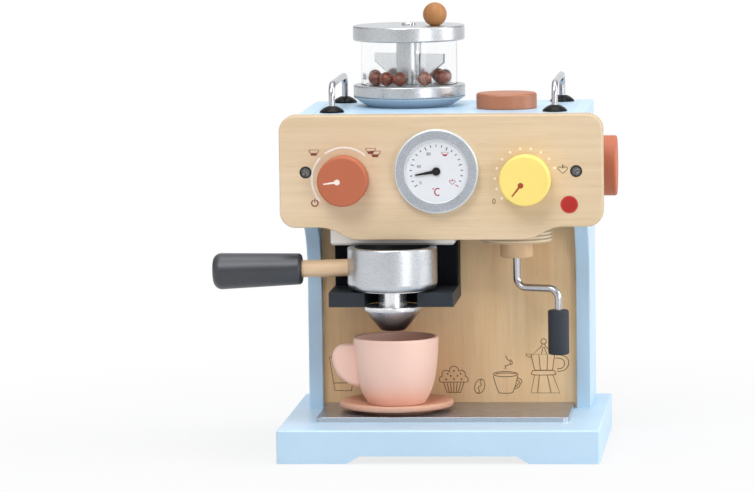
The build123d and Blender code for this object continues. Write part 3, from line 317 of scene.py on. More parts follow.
def spout_silver(name, low_z, high_z):
    """Metallic paint with painted shade that darkens it towards the tip of the spout."""
    f = Finish(name)
    base, rough, normal = silver_coat(f, (0.84, 0.85, 0.87), (1.0, 1.0, 1.0), 0.24)
    # Painted shade: near black at the tip, fading out higher up.
    painted_shade = f.spread(f.z, low_z, high_z, 0.18, 1.0) ** 4
    base = f.mix(painted_shade, (0.07, 0.068, 0.072), base)
    return f.done(Base_Color=base, Metallic=0.9, Roughness=rough, Normal=normal)


def ring_silver(name, centre, inner, outer):
    """Sparkling silver round the gauge, with painted highlights: pale lines along both its edges."""
    f = Finish(name)
    base, rough, normal = silver_coat(f, (0.27, 0.29, 0.33), (0.58, 0.61, 0.66), 0.44)
    radius = f.away_from("Y", centre)
    # Painted highlight along the rounded outer and inner edges.
    outside = f.spread(abs(radius - outer), 1.5 * MM, 0.9 * MM)
    painted_glint = outside.most(f.spread(abs(radius - inner), 0.9 * MM, 0.4 * MM))
    base = f.mix(0.65 * painted_glint, base, (0.86, 0.87, 0.86))
    return f.done(Base_Color=base, Metallic=0.55, Roughness=rough, Normal=normal)


def framed_silver(name, lo, hi):
    """Silver block face with painted highlights: a pale line just inside its edges and a pale rim."""
    f = Finish(name)
    # Painted light: this silver is a brighter copy of the others, to offset the shade it sits in under the
    # head.
    base, rough, normal = silver_coat(f, (0.92, 0.88, 0.84), (1.0, 0.97, 0.94), 0.46)
    side = (f.x - lo[0]).least(hi[0] - f.x)
    edge = side.least(f.z - lo[2]).least(hi[2] - f.z)
    # Painted highlight along the edges of the face.
    line = f.spread(abs(edge - 2.1 * MM), 0.8 * MM, 0.3 * MM)
    rim = f.spread(edge, 1.1 * MM, 0.5 * MM)
    base = f.mix(0.6 * line.most(rim), base, (0.88, 0.89, 0.90))
    return f.done(Base_Color=base, Metallic=0.4, Roughness=rough, Normal=normal)


def basket_silver(name, centre, well_radius, floor):
    """Bright silver outside, and painted shadow, near black and not metallic, inside the basket's well."""
    f = Finish(name)
    base, rough, normal = silver_coat(f, (0.44, 0.46, 0.49), (0.70, 0.725, 0.755), 0.30)
    # Painted shadow fills the well, where the plate above shades it.
    inside = f.spread(f.away_from("Z", centre), well_radius + 0.3 * MM, well_radius - 0.1 * MM)
    inside = inside * (f.z > floor)
    base = f.mix(inside, base, (0.02, 0.02, 0.022))
    return f.done(Base_Color=base, Metallic=1 - inside, Roughness=rough, Normal=normal)


def tray_metal(name, top):
    """Smooth grey sheet with faint brushing from side to side and a painted highlight along its front edge.
    """
    f = Finish(name)
    brushed = f.noise(1.0, 4, 0.6, f.stretched((18.0, 1100.0, 700.0)))
    haze = f.noise(22, 3)
    tone = f.spread(brushed + 0.4 * haze, 0.4, 1.0)
    base = f.mix(tone, (0.29, 0.30, 0.34), (0.42, 0.43, 0.47))
    # Painted highlight: paler where the surface lies below the tray's top, as on its front edge.
    front = f.spread(f.z, top - 0.9 * MM, top - 0.2 * MM, 1.0, 0.0)
    base = f.mix(front, base, (0.52, 0.54, 0.57))
    rough = f.spread(brushed, 0.3, 0.7, 0.25, 0.34)
    return f.done(Base_Color=base, Metallic=0.75, Roughness=rough, Normal=f.bump(brushed, 0.008 * MM, 0.4))


def headed_screw(name, colour, places, recess_radius):
    """Black zinc screw with a painted highlight: pale metal round its recess, drawn as bare metal, stands in
    for the glints there.
    """
    f = Finish(name)
    fine = f.noise(1500, 3)
    flake = f.noise(3200, 2)
    near = f.away_from("Y", places[0]).least(f.away_from("Y", places[1]))
    # Painted highlight: pale metal patches round each recess.
    painted_glint = f.spread(near, recess_radius, 0.55 * recess_radius) * f.spread(flake, 0.42, 0.60)
    base = f.mix(0.85 * painted_glint, colour, (0.56, 0.56, 0.55))
    rough = f.spread(fine, 0.3, 0.7, 0.28, 0.44)
    return f.done(Base_Color=base, Metallic=0.75 * painted_glint, Roughness=rough, Normal=f.bump(fine, 0.02 * MM, 0.6))


def lit_lamp(name, colour, centre, radius):
    """Red inlay with a pale ring where its paint meets the wood."""
    f = Finish(name)
    mottle = f.noise(120, 3)
    away = f.away_from("Y", centre)
    rim = f.spread(away, radius - 0.9 * MM, radius - 0.2 * MM)
    base = f.mix(f.spread(mottle, 0.35, 0.65), shade(colour, 0.95), shade(colour, 1.05))
    base = f.mix(0.35 * rim, base, (0.80, 0.30, 0.24))
    rough = f.spread(mottle, 0.3, 0.7, 0.34, 0.42)
    return f.done(Base_Color=base, Roughness=rough, Normal=f.bump(mottle, 0.02 * MM, 0.4))


def dark_paint(name, colour, roughness=0.45, shine=0.35):
    """Dark satin paint with dust-fine texture."""
    f = Finish(name)
    fine = f.noise(1400, 2)
    mottle = f.noise(40, 3)
    base = f.mix(f.spread(mottle, 0.3, 0.7), shade(colour, 0.88), shade(colour, 1.12))
    rough = f.spread(fine, 0.3, 0.7, roughness - 0.05, roughness + 0.07)
    normal = f.bump(fine, 0.03 * MM, 0.6)
    return f.done(Base_Color=base, Roughness=rough, Specular_IOR_Level=shine, Normal=normal)


def bright_rod(name, colour=(0.50, 0.50, 0.52), roughness=0.22):
    """Drawn steel rod with faint lines along it and a little haze."""
    f = Finish(name)
    lines = f.noise(1.0, 3, 0.6, f.stretched((2500.0, 2500.0, 300.0)))
    haze = f.noise(120, 3)
    rough = f.spread(haze + 0.5 * lines, 0.5, 1.1, roughness - 0.03, roughness + 0.1)
    base = f.mix(haze, shade(colour, 0.90), shade(colour, 1.08))
    return f.done(Base_Color=base, Metallic=1.0, Roughness=rough, Normal=f.bump(lines, 0.01 * MM, 0.4))


def clear_acrylic(name):
    """Clear cast acrylic with the faintest ripple."""
    tint = (0.985, 0.992, 0.996)
    f = Finish(name)
    ripple = f.noise(60, 2)
    tone = f.mix(ripple, shade(tint, 0.985), tint)
    return f.done(
        Base_Color=tone, Roughness=0.03, IOR=1.24, Transmission_Weight=1.0,
        Normal=f.bump(ripple, 0.02 * MM, 0.2),
    )


def frosted_acrylic(name):
    """Clear plate with a ground, greyish surface."""
    tint = (0.90, 0.92, 0.94)
    f = Finish(name)
    ground = f.noise(700, 3, 0.6)
    cloud = f.noise(40, 2)
    tone = f.mix(f.spread(cloud + 0.3 * ground, 0.4, 0.9), shade(tint, 0.92), tint)
    rough = f.spread(ground, 0.3, 0.7, 0.14, 0.24)
    normal = f.bump(ground, 0.02 * MM, 0.4)
    return f.done(Base_Color=tone, Roughness=rough, IOR=1.40, Transmission_Weight=0.84, Normal=normal)


def varnished_bead(name):
    """Brown-stained wooden balls under a hard gloss."""
    f = Finish(name)
    grain = f.noise(1.0, 4, 0.6, f.stretched((700.0, 180.0, 520.0)), 1.0)
    base = f.mix(f.spread(grain, 0.3, 0.7), srgb(76, 28, 8), srgb(152, 66, 20))
    return f.done(Base_Color=base, Roughness=0.34, Coat_Weight=0.22, Coat_Roughness=0.12,
                  Normal=f.bump(grain, 0.03 * MM, 0.4))


def ink(name, colour, roughness=0.6):
    """Printed ink, a little uneven where it sank into the grain."""
    f = Finish(name)
    uneven = f.noise(1800, 3, 0.6)
    base = f.mix(f.spread(uneven, 0.35, 0.75), colour, shade(colour, 0.86))
    rough = f.spread(uneven, 0.3, 0.7, roughness - 0.05, roughness + 0.05)
    return f.done(Base_Color=base, Roughness=rough)


def printed_card(name, colour):
    """Smooth white print stock with a trace of fibre."""
    f = Finish(name)
    fibre = f.noise(1.0, 3, 0.6, f.stretched((900.0, 900.0, 2400.0)))
    base = f.mix(f.spread(fibre, 0.3, 0.7), shade(colour, 0.985), colour)
    return f.done(Base_Color=base, Roughness=0.5, Normal=f.bump(fibre, 0.01 * MM, 0.4))


BLUE = srgb(190, 220, 243)
PLINTH_BLUE = srgb(176, 190, 201)
PANEL_LIGHT, PANEL_DARK = srgb(233, 210, 178), srgb(212, 184, 146)
BACK_LIGHT, BACK_DARK = srgb(252, 222, 178), srgb(234, 190, 136)
TURNED_LIGHT, TURNED_DARK = srgb(238, 210, 176), srgb(214, 178, 136)
BALL_LIGHT, BALL_DARK = srgb(186, 130, 76), srgb(158, 101, 52)
TERRACOTTA = srgb(190, 106, 74)
CAP_BROWN = srgb(176, 106, 66)
YELLOW = srgb(252, 226, 126)
RED = srgb(178, 30, 22)
PINK = srgb(247, 207, 190)

SCREW_PLACES = [(x * MM, 0, 197.4 * MM) for x in (-94.5, 94.5)]
GAUGE_CENTRE = (-2.6 * MM, 0, 198.0 * MM)
PLATE_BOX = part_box("group_plate")
LAMP_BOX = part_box("red_lamp")
LAMP_CENTRE = [(low + high) / 2 for low, high in zip(*LAMP_BOX)]
BASKET_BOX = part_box("portafilter_basket")
BASKET_CENTRE = [(low + high) / 2 for low, high in zip(*BASKET_BOX)]
SPOUT_TIP_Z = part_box("portafilter_spout")[0][2]
TRAY_TOP_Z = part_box("drip_tray")[1][2]

finishes = {
    "blue": painted_board("blue paint", BLUE),
    "plinth": painted_board("plinth paint", PLINTH_BLUE, 0.40),
    "panel wood": bare_wood("panel plywood", PANEL_LIGHT, PANEL_DARK, "X", "Y", figure=0.8),
    "back wood": bare_wood("back plywood", BACK_LIGHT, BACK_DARK, "Z", "Y"),
    "pad wood": bare_wood("pad plywood", PANEL_LIGHT, PANEL_DARK, "X", "Z"),
    "turned wood": bare_wood("turned beech", TURNED_LIGHT, TURNED_DARK, "Z"),
    "dowel wood": bare_wood("dowel beech", TURNED_LIGHT, TURNED_DARK, "X"),
    "ball wood": bare_wood("ball beech", BALL_LIGHT, BALL_DARK, "Z"),
    "silver": silver_paint("silver paint"),
    "basket silver": basket_silver("basket silver", BASKET_CENTRE, WELL_R, BASKET_BOX[1][2] - WELL_DEPTH),
    "spout silver": spout_silver("spout silver", SPOUT_TIP_Z + SPOUT_SHADE_FROM, SPOUT_TIP_Z + SPOUT_SHADE_TO),
    "ring silver": ring_silver("gauge ring silver", GAUGE_CENTRE, RING_INNER_R, RING_OUTER_R),
    "framed silver": framed_silver("group plate silver", *PLATE_BOX),
    "tray": tray_metal("drip tray metal", TRAY_TOP_Z),
    "terracotta": matt_paint("terracotta paint", TERRACOTTA, shine=0.4),
    "cap brown": matt_paint("cap brown paint", CAP_BROWN, 0.50, 1.0),
    "yellow": matt_paint("yellow paint", YELLOW, 0.5),
    "lamp": lit_lamp("red lamp paint", RED, LAMP_CENTRE, LAMP_R),
    "pink": matt_paint("pink paint", PINK),
    # Painted shade: a darker copy of the cup's pink, for the shade the cup and its own rim cast on the
    # saucer.
    "saucer pink": matt_paint("saucer pink paint", srgb(214, 164, 138)),
    "grip": dark_paint("grip paint", srgb(44, 48, 55), 0.38, 0.75),
    "bracket": dark_paint("shelf paint", srgb(38, 44, 51), 0.5),
    # Painted shade: the block gets a darker, duller copy of the shelf's black for the shadow it sits in.
    "block": dark_paint("block paint", srgb(10, 13, 19), 0.5, 0.1),
    "sleeve": dark_paint("sleeve rubber", srgb(48, 53, 61), 0.6),
    "foot": dark_paint("foot gloss black", srgb(12, 12, 14), 0.28, 0.15),
    "screw": headed_screw("screw black", srgb(22, 22, 24), SCREW_PLACES, SCREW_RECESS_R),
    "needle": dark_paint("needle black", srgb(14, 14, 16), 0.4),
    "rod": bright_rod("polished rod"),
    "bolt": bright_rod("bolt steel", (0.66, 0.67, 0.69), 0.18),
    "steel": bright_rod("zinc steel", (0.6, 0.6, 0.62), 0.32),
    "clear": clear_acrylic("clear acrylic"),
    "frosted": frosted_acrylic("frosted acrylic"),
    "bead": varnished_bead("bead varnish"),
    "dial": printed_card("dial card", (0.80, 0.82, 0.86)),
    "white ink": ink("white ink", srgb(255, 238, 228)),
    "pale ink": ink("pale ink", srgb(255, 247, 240)),
    "cream ink": ink("cream ink", srgb(255, 243, 222)),
    "black ink": ink("black ink", srgb(24, 24, 26)),
    "red ink": ink("red ink", srgb(176, 40, 62)),
    "brown ink": ink("brown red ink", srgb(128, 62, 48)),
    "dark ink": ink("dark brown ink", srgb(92, 72, 52)),
    "pointer ink": ink("pointer red ink", srgb(168, 72, 34)),
    "burnt": ink("burnt line", srgb(112, 66, 30), 0.75),
}

NODE_FINISHES = {
    "blue": [
        "base_deck", "base_front_apron", "base_rear_apron", "base_side_aprons", "base_cross_rib",
        "left_side_panel", "right_side_panel", "rear_panel", "top_plate", "head_floor",
    ],
    "plinth": ["grinder_plinth"],
    "panel wood": ["front_panel"],
    "back wood": ["back_panel"],
    "pad wood": ["wand_disc"],
    "turned wood": ["wand_boss", "crank_peg"],
    "dowel wood": ["portafilter_dowel", "left_knob_axle", "right_knob_axle", "steam_knob_axle"],
    "ball wood": ["crank_ball"],
    "silver": ["grinder_base", "grinder_lid", "grinder_column"],
    "spout silver": ["portafilter_spout"],
    "basket silver": ["portafilter_basket"],
    "ring silver": ["gauge_ring"],
    "framed silver": ["group_plate"],
    "tray": ["drip_tray"],
    "terracotta": ["left_knob", "steam_knob"],
    "cap brown": ["tank_cap"],
    "yellow": ["right_knob"],
    "lamp": ["red_lamp"],
    "pink": ["cup"],
    "saucer pink": ["saucer"],
    "grip": ["portafilter_grip"],
    "bracket": ["bracket_shelf"],
    "block": ["bracket_block"],
    "sleeve": ["wand_sleeve"],
    "foot": ["rail_feet"],
    "screw": ["front_panel_screws"],
    "needle": ["gauge_needle"],
    "rod": ["wand_tube", "top_rails"],
    "bolt": ["grinder_bolt"],
    "steel": [
        "side_panel_screws", "bracket_screws", "left_knob_screw", "right_knob_screw", "steam_knob_screw",
        "gauge_pin", "gauge_clip", "wand_collar", "grinder_nut", "rail_nuts",
    ],
    "clear": ["hopper"],
    "frosted": ["grinder_paddles"],
    "bead": ["coffee_beads"],
    "dial": ["gauge_dial"],
}


def dress_nodes():
    """Gives every node of the frame its finish."""
    for finish, names in NODE_FINISHES.items():
        for name in names:
            mesh = NODES[name].data
            mesh.materials.clear()
            mesh.materials.append(finishes[finish])


# ---------------------------------------------------------------- prints
class Face:
    """A flat face to print on: its centre, and which way right and up run on it."""

    def __init__(self, centre, right, up):
        right, up = Vector(right).normalized(), Vector(up).normalized()
        out = right.cross(up)
        turn = Matrix((right, up, out)).transposed().to_4x4()
        self.matrix = Matrix.Translation(Vector(centre)) @ turn


def add_piece(name, mesh, finish, body):
    piece = bpy.data.objects.new(name, mesh)
    mesh.materials.clear()
    mesh.materials.append(finishes[finish])
    bpy.context.scene.collection.objects.link(piece)
    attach(piece, body)
    return piece


def mesh_of(data, name):
    """Plain mesh of a curve or text."""
    holder = bpy.data.objects.new(name, data)
    bpy.context.scene.collection.objects.link(holder)
    depsgraph = bpy.context.evaluated_depsgraph_get()
    mesh = bpy.data.meshes.new_from_object(holder.evaluated_get(depsgraph))
    bpy.data.objects.remove(holder)
    return mesh


def stroke_mesh(name, lines, width, face):
    """Thin printed or burnt lines. Each line is (points, closed), in millimetres on the face."""
    curve = bpy.data.curves.new(name, "CURVE")
    curve.dimensions = "3D"
    curve.bevel_depth = width / 2 * MM
    curve.bevel_resolution = 2
    curve.use_fill_caps = True
    for points, closed in lines:
        spline = curve.splines.new("POLY")
        spline.points.add(len(points) - 1)
        for point, (u, v) in zip(spline.points, points):
            point.co = (u * MM, v * MM, 0, 1)
        spline.use_cyclic_u = closed
    mesh = mesh_of(curve, name)
    flatten = Matrix.Diagonal((1, 1, PRINT_RISE / (width / 2 * MM), 1))
    mesh.transform(face.matrix @ flatten)
    return mesh


def filled_mesh(name, outlines, face):
    """Thin filled shapes, holes where one outline lies inside another."""
    curve = bpy.data.curves.new(name, "CURVE")
    curve.dimensions = "2D"
    curve.fill_mode = "BOTH"
    curve.extrude = PRINT_RISE
    for points in outlines:
        spline = curve.splines.new("POLY")
        spline.points.add(len(points) - 1)
        for point, (u, v) in zip(spline.points, points):
            point.co = (u * MM, v * MM, 0, 1)
        spline.use_cyclic_u = True
    mesh = mesh_of(curve, name)
    mesh.transform(face.matrix)
    return mesh


def text_mesh(name, words, height, centre, face):
    """Plain figures centred on a point of the face. Height is that of a figure."""
    data = bpy.data.curves.new(name, "FONT")
    data.body = words
    data.size = height / 0.69 * MM
    data.extrude = PRINT_RISE
    data.align_x = "CENTER"
    data.align_y = "CENTER"
    mesh = mesh_of(data, name)
    mesh.transform(face.matrix @ Matrix.Translation((centre[0] * MM, centre[1] * MM, 0)))
    return mesh


def joined(name, meshes):
    """One mesh from several."""
    whole = bpy.data.meshes.new(name)
    vertices, polygons = [], []
    for mesh in meshes:
        start = len(vertices)
        vertices += [v.co[:] for v in mesh.vertices]
        polygons += [[start + i for i in p.vertices] for p in mesh.polygons]
    whole.from_pydata(vertices, [], polygons)
    whole.update()
    return whole


def arc_points(centre, radius, start, end, steps=24, squash=1.0):
    """Points on an arc, angles in degrees from the right, counter-clockwise."""
    points = []
    for i in range(steps + 1):
        turn = math.radians(start + (end - start) * i / steps)
        points.append((centre[0] + radius * math.cos(turn), centre[1] + radius * squash * math.sin(turn)))
    return points


def moved(points, dx, dy):
    return [(dx + x, dy + y) for x, y in points]


def curve_through(points, steps=8):
    """A smooth line through a few points (Catmull-Rom)."""
    padded = [points[0], *points, points[-1]]
    smooth = []
    for p0, p1, p2, p3 in zip(padded, padded[1:], padded[2:], padded[3:]):
        for i in range(steps):
            t = i / steps
            smooth.append(tuple(
                0.5 * (2 * b + (c - a) * t + (2 * a - 5 * b + 4 * c - d) * t**2
                       + (3 * b - a - 3 * c + d) * t**3)
                for a, b, c, d in zip(p0, p1, p2, p3)
            ))
    return smooth + [points[-1]]


def face_centre(node, towards):
    """Middle of a node's box on the side that an axis points to, such as '-Y'."""
    lo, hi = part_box(node)
    centre = (Vector(lo) + Vector(hi)) / 2
    axis = "XYZ".index(towards[1])
    centre[axis] = hi[axis] if towards[0] == "+" else lo[axis]
    return centre


# ---------------------------------------------------------------- marks laid out by rule
class Layout(Graph):
    """A Geometry Nodes tree whose sizes are named inputs."""

    def __init__(self, name, sizes):
        tree = bpy.data.node_groups.new(name, "GeometryNodeTree")
        super().__init__(tree)
        self.name, self.sizes, self.keys = name, sizes, {}
        for size, value in sizes.items():
            kind = "NodeSocketInt" if isinstance(value, int) else "NodeSocketFloat"
            socket = tree.interface.new_socket(name=size, in_out="INPUT", socket_type=kind)
            self.keys[size] = socket.identifier
        tree.interface.new_socket(name="Geometry", in_out="OUTPUT", socket_type="NodeSocketGeometry")
        self.group_in = tree.nodes.new("NodeGroupInput")

    def size(self, name):
        return Value(self, self.group_in.outputs[name])

    def mesh(self, geometry, finish):
        """Closes the tree with real copies in their finish, and gives the plain mesh."""
        real = self.node("GeometryNodeRealizeInstances", inputs={"Geometry": geometry})
        inputs = {"Geometry": real, "Material": finishes[finish]}
        dressed = self.node("GeometryNodeSetMaterial", inputs=inputs)
        out = self.tree.nodes.new("NodeGroupOutput")
        self.tree.links.new(dressed.socket, out.inputs[0])
        holder = bpy.data.objects.new(self.name, bpy.data.meshes.new(self.name))
        modifier = holder.modifiers.new(self.name, "NODES")
        modifier.node_group = self.tree
        for size, value in self.sizes.items():
            modifier[self.keys[size]] = value
        bpy.context.scene.collection.objects.link(holder)
        evaluated = holder.evaluated_get(bpy.context.evaluated_depsgraph_get())
        mesh = bpy.data.meshes.new_from_object(evaluated)
        holder.modifiers.remove(modifier)
        bpy.data.objects.remove(holder)
        return mesh


def ring_of_marks(layout, mark, finish):
    """Copies of a mark round a circle, every so many of them longer."""
    index = layout.node("GeometryNodeInputIndex")
    count = layout.size("Count")
    points = layout.node("GeometryNodePoints", inputs={"Count": count})
    turn = layout.size("Start") + index * layout.size("Step")
    is_long = 1 - (index % layout.size("Long every")).least(1)
    length = layout.size("Length") + is_long * layout.size("Long extra")
    radius = layout.size("Radius") - length / 2
    place = layout.join(radius * turn.cosine(), radius * turn.sine(), 0.0)
    points = layout.node("GeometryNodeSetPosition", inputs={"Geometry": points, "Position": place})
    inputs = {"Points": points, "Instance": mark, "Rotation": layout.join(0.0, 0.0, turn)}
    inputs["Scale"] = layout.join(length, layout.size("Width"), 1.0)
    copies = layout.node("GeometryNodeInstanceOnPoints", inputs=inputs)
    return layout.mesh(copies, finish)


def dial_ticks(name, count, start, step, finish):
    """Printed ticks of a dial, angles in degrees from the right."""
    sizes = {
        "Count": count, "Start": math.radians(start), "Step": math.radians(step), "Long every": 4,
        "Length": 1.5 * MM, "Long extra": 0.9 * MM, "Radius": TICK_RING_R * MM, "Width": 0.62 * MM,
    }
    layout = Layout(name, sizes)
    mark = layout.node("GeometryNodeMeshCube", inputs={"Size": (1.0, 1.0, 2 * PRINT_RISE)})
    return ring_of_marks(layout, mark, finish)


def knob_dots(name, count, start, step, finish):
    """Printed round dots about a knob."""
    sizes = {
        "Count": count, "Start": math.radians(start), "Step": math.radians(step), "Long every": 1,
        "Length": DOT_D * MM, "Long extra": 0.0, "Radius": (DOT_RING_R + DOT_D / 2) * MM, "Width": DOT_D * MM,
    }
    layout = Layout(name, sizes)
    inputs = {"Vertices": 20, "Radius": 0.5, "Depth": 2 * PRINT_RISE}
    mark = layout.node("GeometryNodeMeshCylinder", inputs=inputs)
    return ring_of_marks(layout, mark, finish)


# ---------------------------------------------------------------- prints on the front
PANEL = Face((0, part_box("front_panel")[0][1], 0), (1, 0, 0), (0, 0, 1))
DIAL = Face((GAUGE_CENTRE[0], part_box("gauge_dial")[0][1], GAUGE_CENTRE[2]), (1, 0, 0), (0, 0, 1))
BACK = Face((0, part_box("back_panel")[0][1], 0), (1, 0, 0), (0, 0, 1))
LEFT_KNOB = face_centre("left_knob", "-Y")
RIGHT_KNOB = face_centre("right_knob", "-Y")
LEFT_CONTROL = (-67.6, 192.0)
RIGHT_CONTROL = (59.4, 192.0)


def placed(face, u, v):
    """A face whose zero lies at a point of another face."""
    moved_face = Face((0, 0, 0), (1, 0, 0), (0, 0, 1))
    moved_face.matrix = face.matrix @ Matrix.Translation((u * MM, v * MM, 0))
    return moved_face


def add_print(name, meshes, finish, body="machine"):
    mesh = meshes if isinstance(meshes, bpy.types.Mesh) else joined(name, meshes)
    return add_piece(name, mesh, finish, body)


def cup_meshes(name, face, width, line):
    """Small cup seen from the side, its lower half solid. Its zero is its middle."""
    w = width / 2
    bowl = [
        (-w, 0.30 * width), (w * 0.98, 0.30 * width), (w * 0.86, 0.10 * width), (w * 0.60, -0.02 * width),
        (w * 0.44, -0.24 * width), (-w * 0.5, -0.24 * width), (-w * 0.66, -0.02 * width),
        (-w * 0.94, 0.12 * width),
    ]
    coffee = [(-w * 0.68, 0.0), (w * 0.66, 0.0), (w * 0.44, -0.26 * width), (-w * 0.5, -0.26 * width)]
    return [stroke_mesh(name, [(bowl, True)], line, face), filled_mesh(name + " fill", [coffee], face)]


def jug_meshes(name, face, width, line):
    """Small jug tilted under a falling drop. Its zero is its middle."""
    w = width / 2
    outline = curve_through([
        (-w * 0.28, 0.18 * w), (-w * 0.72, 0.42 * w), (-w, 0.0), (-w * 0.42, -0.60 * w), (0.0, -0.94 * w),
        (w * 0.46, -0.58 * w), (w, 0.02 * w), (w * 0.66, 0.40 * w), (w * 0.24, 0.20 * w),
    ])
    drop = [
        (0.0, 1.0 * w), (w * 0.18, 0.55 * w), (w * 0.14, 0.20 * w), (0.0, 0.02 * w), (-w * 0.14, 0.20 * w),
        (-w * 0.18, 0.55 * w),
    ]
    return [stroke_mesh(name, [(outline, False)], line, face), filled_mesh(name + " drop", [drop], face)]


def pointer_mesh(name, face, hub, tip, hub_r, root_w, tip_w):
    """Round hub with a tapering blade."""
    along = Vector(tip) - Vector(hub)
    turn = math.degrees(math.atan2(along.y, along.x))
    side = Vector((-along.y, along.x)).normalized()
    root = math.degrees(math.asin(root_w / 2 / hub_r))
    outline = arc_points(hub, hub_r, turn + root, turn + 360 - root, 28)
    end = Vector(tip)
    outline += [tuple(end - side * tip_w / 2), tuple(end + side * tip_w / 2)]
    return filled_mesh(name, [outline], face)


def add_panel_prints():
    """Arc, dots, figures and little drawings round the two knobs."""
    left = [arc_points(LEFT_CONTROL, ARC_R, 48, 126, 30), arc_points(LEFT_CONTROL, ARC_R, 137, 220.5, 30)]
    arcs = stroke_mesh("knob_arc", [(line, False) for line in left], ARC_WIDTH, PANEL)
    add_print("knob_arc", arcs, "pale ink")

    dots = knob_dots("knob_dots", 11, 20.8, 19.76, "cream ink")
    dots.transform(placed(PANEL, *RIGHT_CONTROL).matrix)
    add_print("knob_dots", dots, "cream ink")

    cup = cup_meshes("cup_mark", placed(PANEL, -88.4, 211.0), 7.0, 0.55)
    back_cup = cup_meshes("back cup", placed(PANEL, -48.6, 212.0), 7.0, 0.5)
    front_cup = cup_meshes("front cup", placed(PANEL, -45.4, 209.9), 7.4, 0.6)
    ring = arc_points((-88.27, 175.9), 2.25, 118, 422, 30)
    bar = [(-88.27, 178.9), (-88.27, 176.4)]
    power = stroke_mesh("power", [(ring, False), (bar, False)], 0.9, PANEL)
    add_print("panel_marks", [*cup, *back_cup, *front_cup, power], "brown ink")

    zero = text_mesh("zero", "0", 3.5, (37.05, 176.4), PANEL)
    jug = jug_meshes("jug", placed(PANEL, 85.24, 199.1), 6.7, 0.5)
    add_print("steam_marks", [zero, *jug], "dark ink")


def add_dial_prints():
    """The gauge's ticks, figures and marks."""
    black = dial_ticks("dial_ticks", 20, 215.0, -12.5, "black ink")
    black.transform(DIAL.matrix)
    add_print("dial_ticks", black, "black ink")
    last = dial_ticks("dial_last_tick", 1, -35.0, -12.5, "red ink")
    last.transform(DIAL.matrix)
    add_print("dial_last_tick", last, "red ink")

    places = (("0", (-11.1, -8.05)), ("40", (-12.2, 3.4)), ("80", (-5.3, 12.1)))
    figures = [text_mesh("figure " + words, words, 2.1, place, DIAL) for words, place in places]
    add_print("dial_figures", figures, "black ink")

    letter = arc_points((0.75, -14.3), 2.0, 52, 308, 30, 1.22)
    degree = arc_points((-2.3, -12.1), 0.45, 0, 345, 16)
    marks = [stroke_mesh("celsius", [(letter, False)], 0.85, DIAL)]
    marks.append(stroke_mesh("degree", [(degree, True)], 0.3, DIAL))
    marks += cup_meshes("dial cup", placed(DIAL, 6.2, 12.0), 4.8, 0.45)
    marks += jug_meshes("dial jug", placed(DIAL, 11.1, -7.1), 4.2, 0.42)
    add_print("dial_marks", marks, "red ink")


def add_pointers():
    """The printed pointer on each knob turns with it."""
    left = Face(LEFT_KNOB, (1, 0, 0), (0, 0, 1))
    mesh = pointer_mesh("left_pointer", left, (-3.4, -0.3), (-13.0, -1.55), 2.0, 1.5, 0.9)
    add_print("left_pointer", mesh, "white ink", "left_control")
    right = Face(RIGHT_KNOB, (1, 0, 0), (0, 0, 1))
    mesh = pointer_mesh("right_pointer", right, (-2.7, -3.2), (-8.8, -10.8), 2.0, 1.4, 1.0)
    add_print("right_pointer", mesh, "pointer ink", "right_control")


# ---------------------------------------------------------------- drawings on the back panel
LINE = 0.52  # width of a burnt line


def tumbler():
    """Straight glass with a drink in it. Its zero is the middle of its foot."""
    drink = [(-6.9, 5.4), (7.1, 5.5)]
    return [([(-9.9, 24.0), (-6.1, 0.0), (5.6, -0.2), (9.9, 24.0)], True), (drink, False)]


def muffin():
    """Muffin with a puffed top in a pleated case."""
    lobes = ((-7.9, 9.2, 2.5), (-5.6, 13.1, 2.8), (0.2, 15.6, 3.3), (5.5, 13.1, 2.8), (7.8, 9.2, 2.5))
    middle, top = (0.0, 9.5), []
    for degrees in range(-12, 193, 3):
        heading = math.radians(degrees)
        dx, dy = math.cos(heading), math.sin(heading)
        reach = 0.0
        for x, y, radius in lobes:
            along = (x - middle[0]) * dx + (y - middle[1]) * dy
            aside = (x - middle[0]) ** 2 + (y - middle[1]) ** 2 - along**2
            if aside < radius**2:
                reach = max(reach, along + math.sqrt(radius**2 - aside))
        top.append((middle[0] + reach * dx, middle[1] + reach * dy))
    lines = [(top, True)]
    lines.append(([(-7.3, 7.2), (-4.7, 0.0), (4.7, 0.0), (7.3, 7.2)], False))
    for i in range(-2, 3):
        lines.append(([(2.45 * i, 7.0), (1.6 * i, 0.2)], False))
    crumbs = (
        (-4.4, 13.5), (0.2, 15.4), (4.9, 13.5), (-5.4, 9.4), (0.2, 9.6), (5.4, 9.5), (-2.2, 11.9), (2.7, 12.0)
    )
    for x, y in crumbs:
        lines.append((arc_points((x, y), 0.4, 0, 330, 8), True))
    return lines


def bean():
    """Coffee bean with a wavy crease, leaning a little."""
    lean = math.radians(-17)
    rim = [(3.5 * math.cos(t), 5.3 * math.sin(t)) for t in (math.tau * i / 28 for i in range(28))]
    crease = [(0.8 * math.sin(1.25 * y), y) for y in [-5.1 + 0.51 * i for i in range(21)]]
    turned = []
    for line, closed in ((rim, True), (crease, False)):
        points = [
            (x * math.cos(lean) - y * math.sin(lean), 5.0 + x * math.sin(lean) + y * math.cos(lean))
            for x, y in line
        ]
        turned.append((points, closed))
    return turned


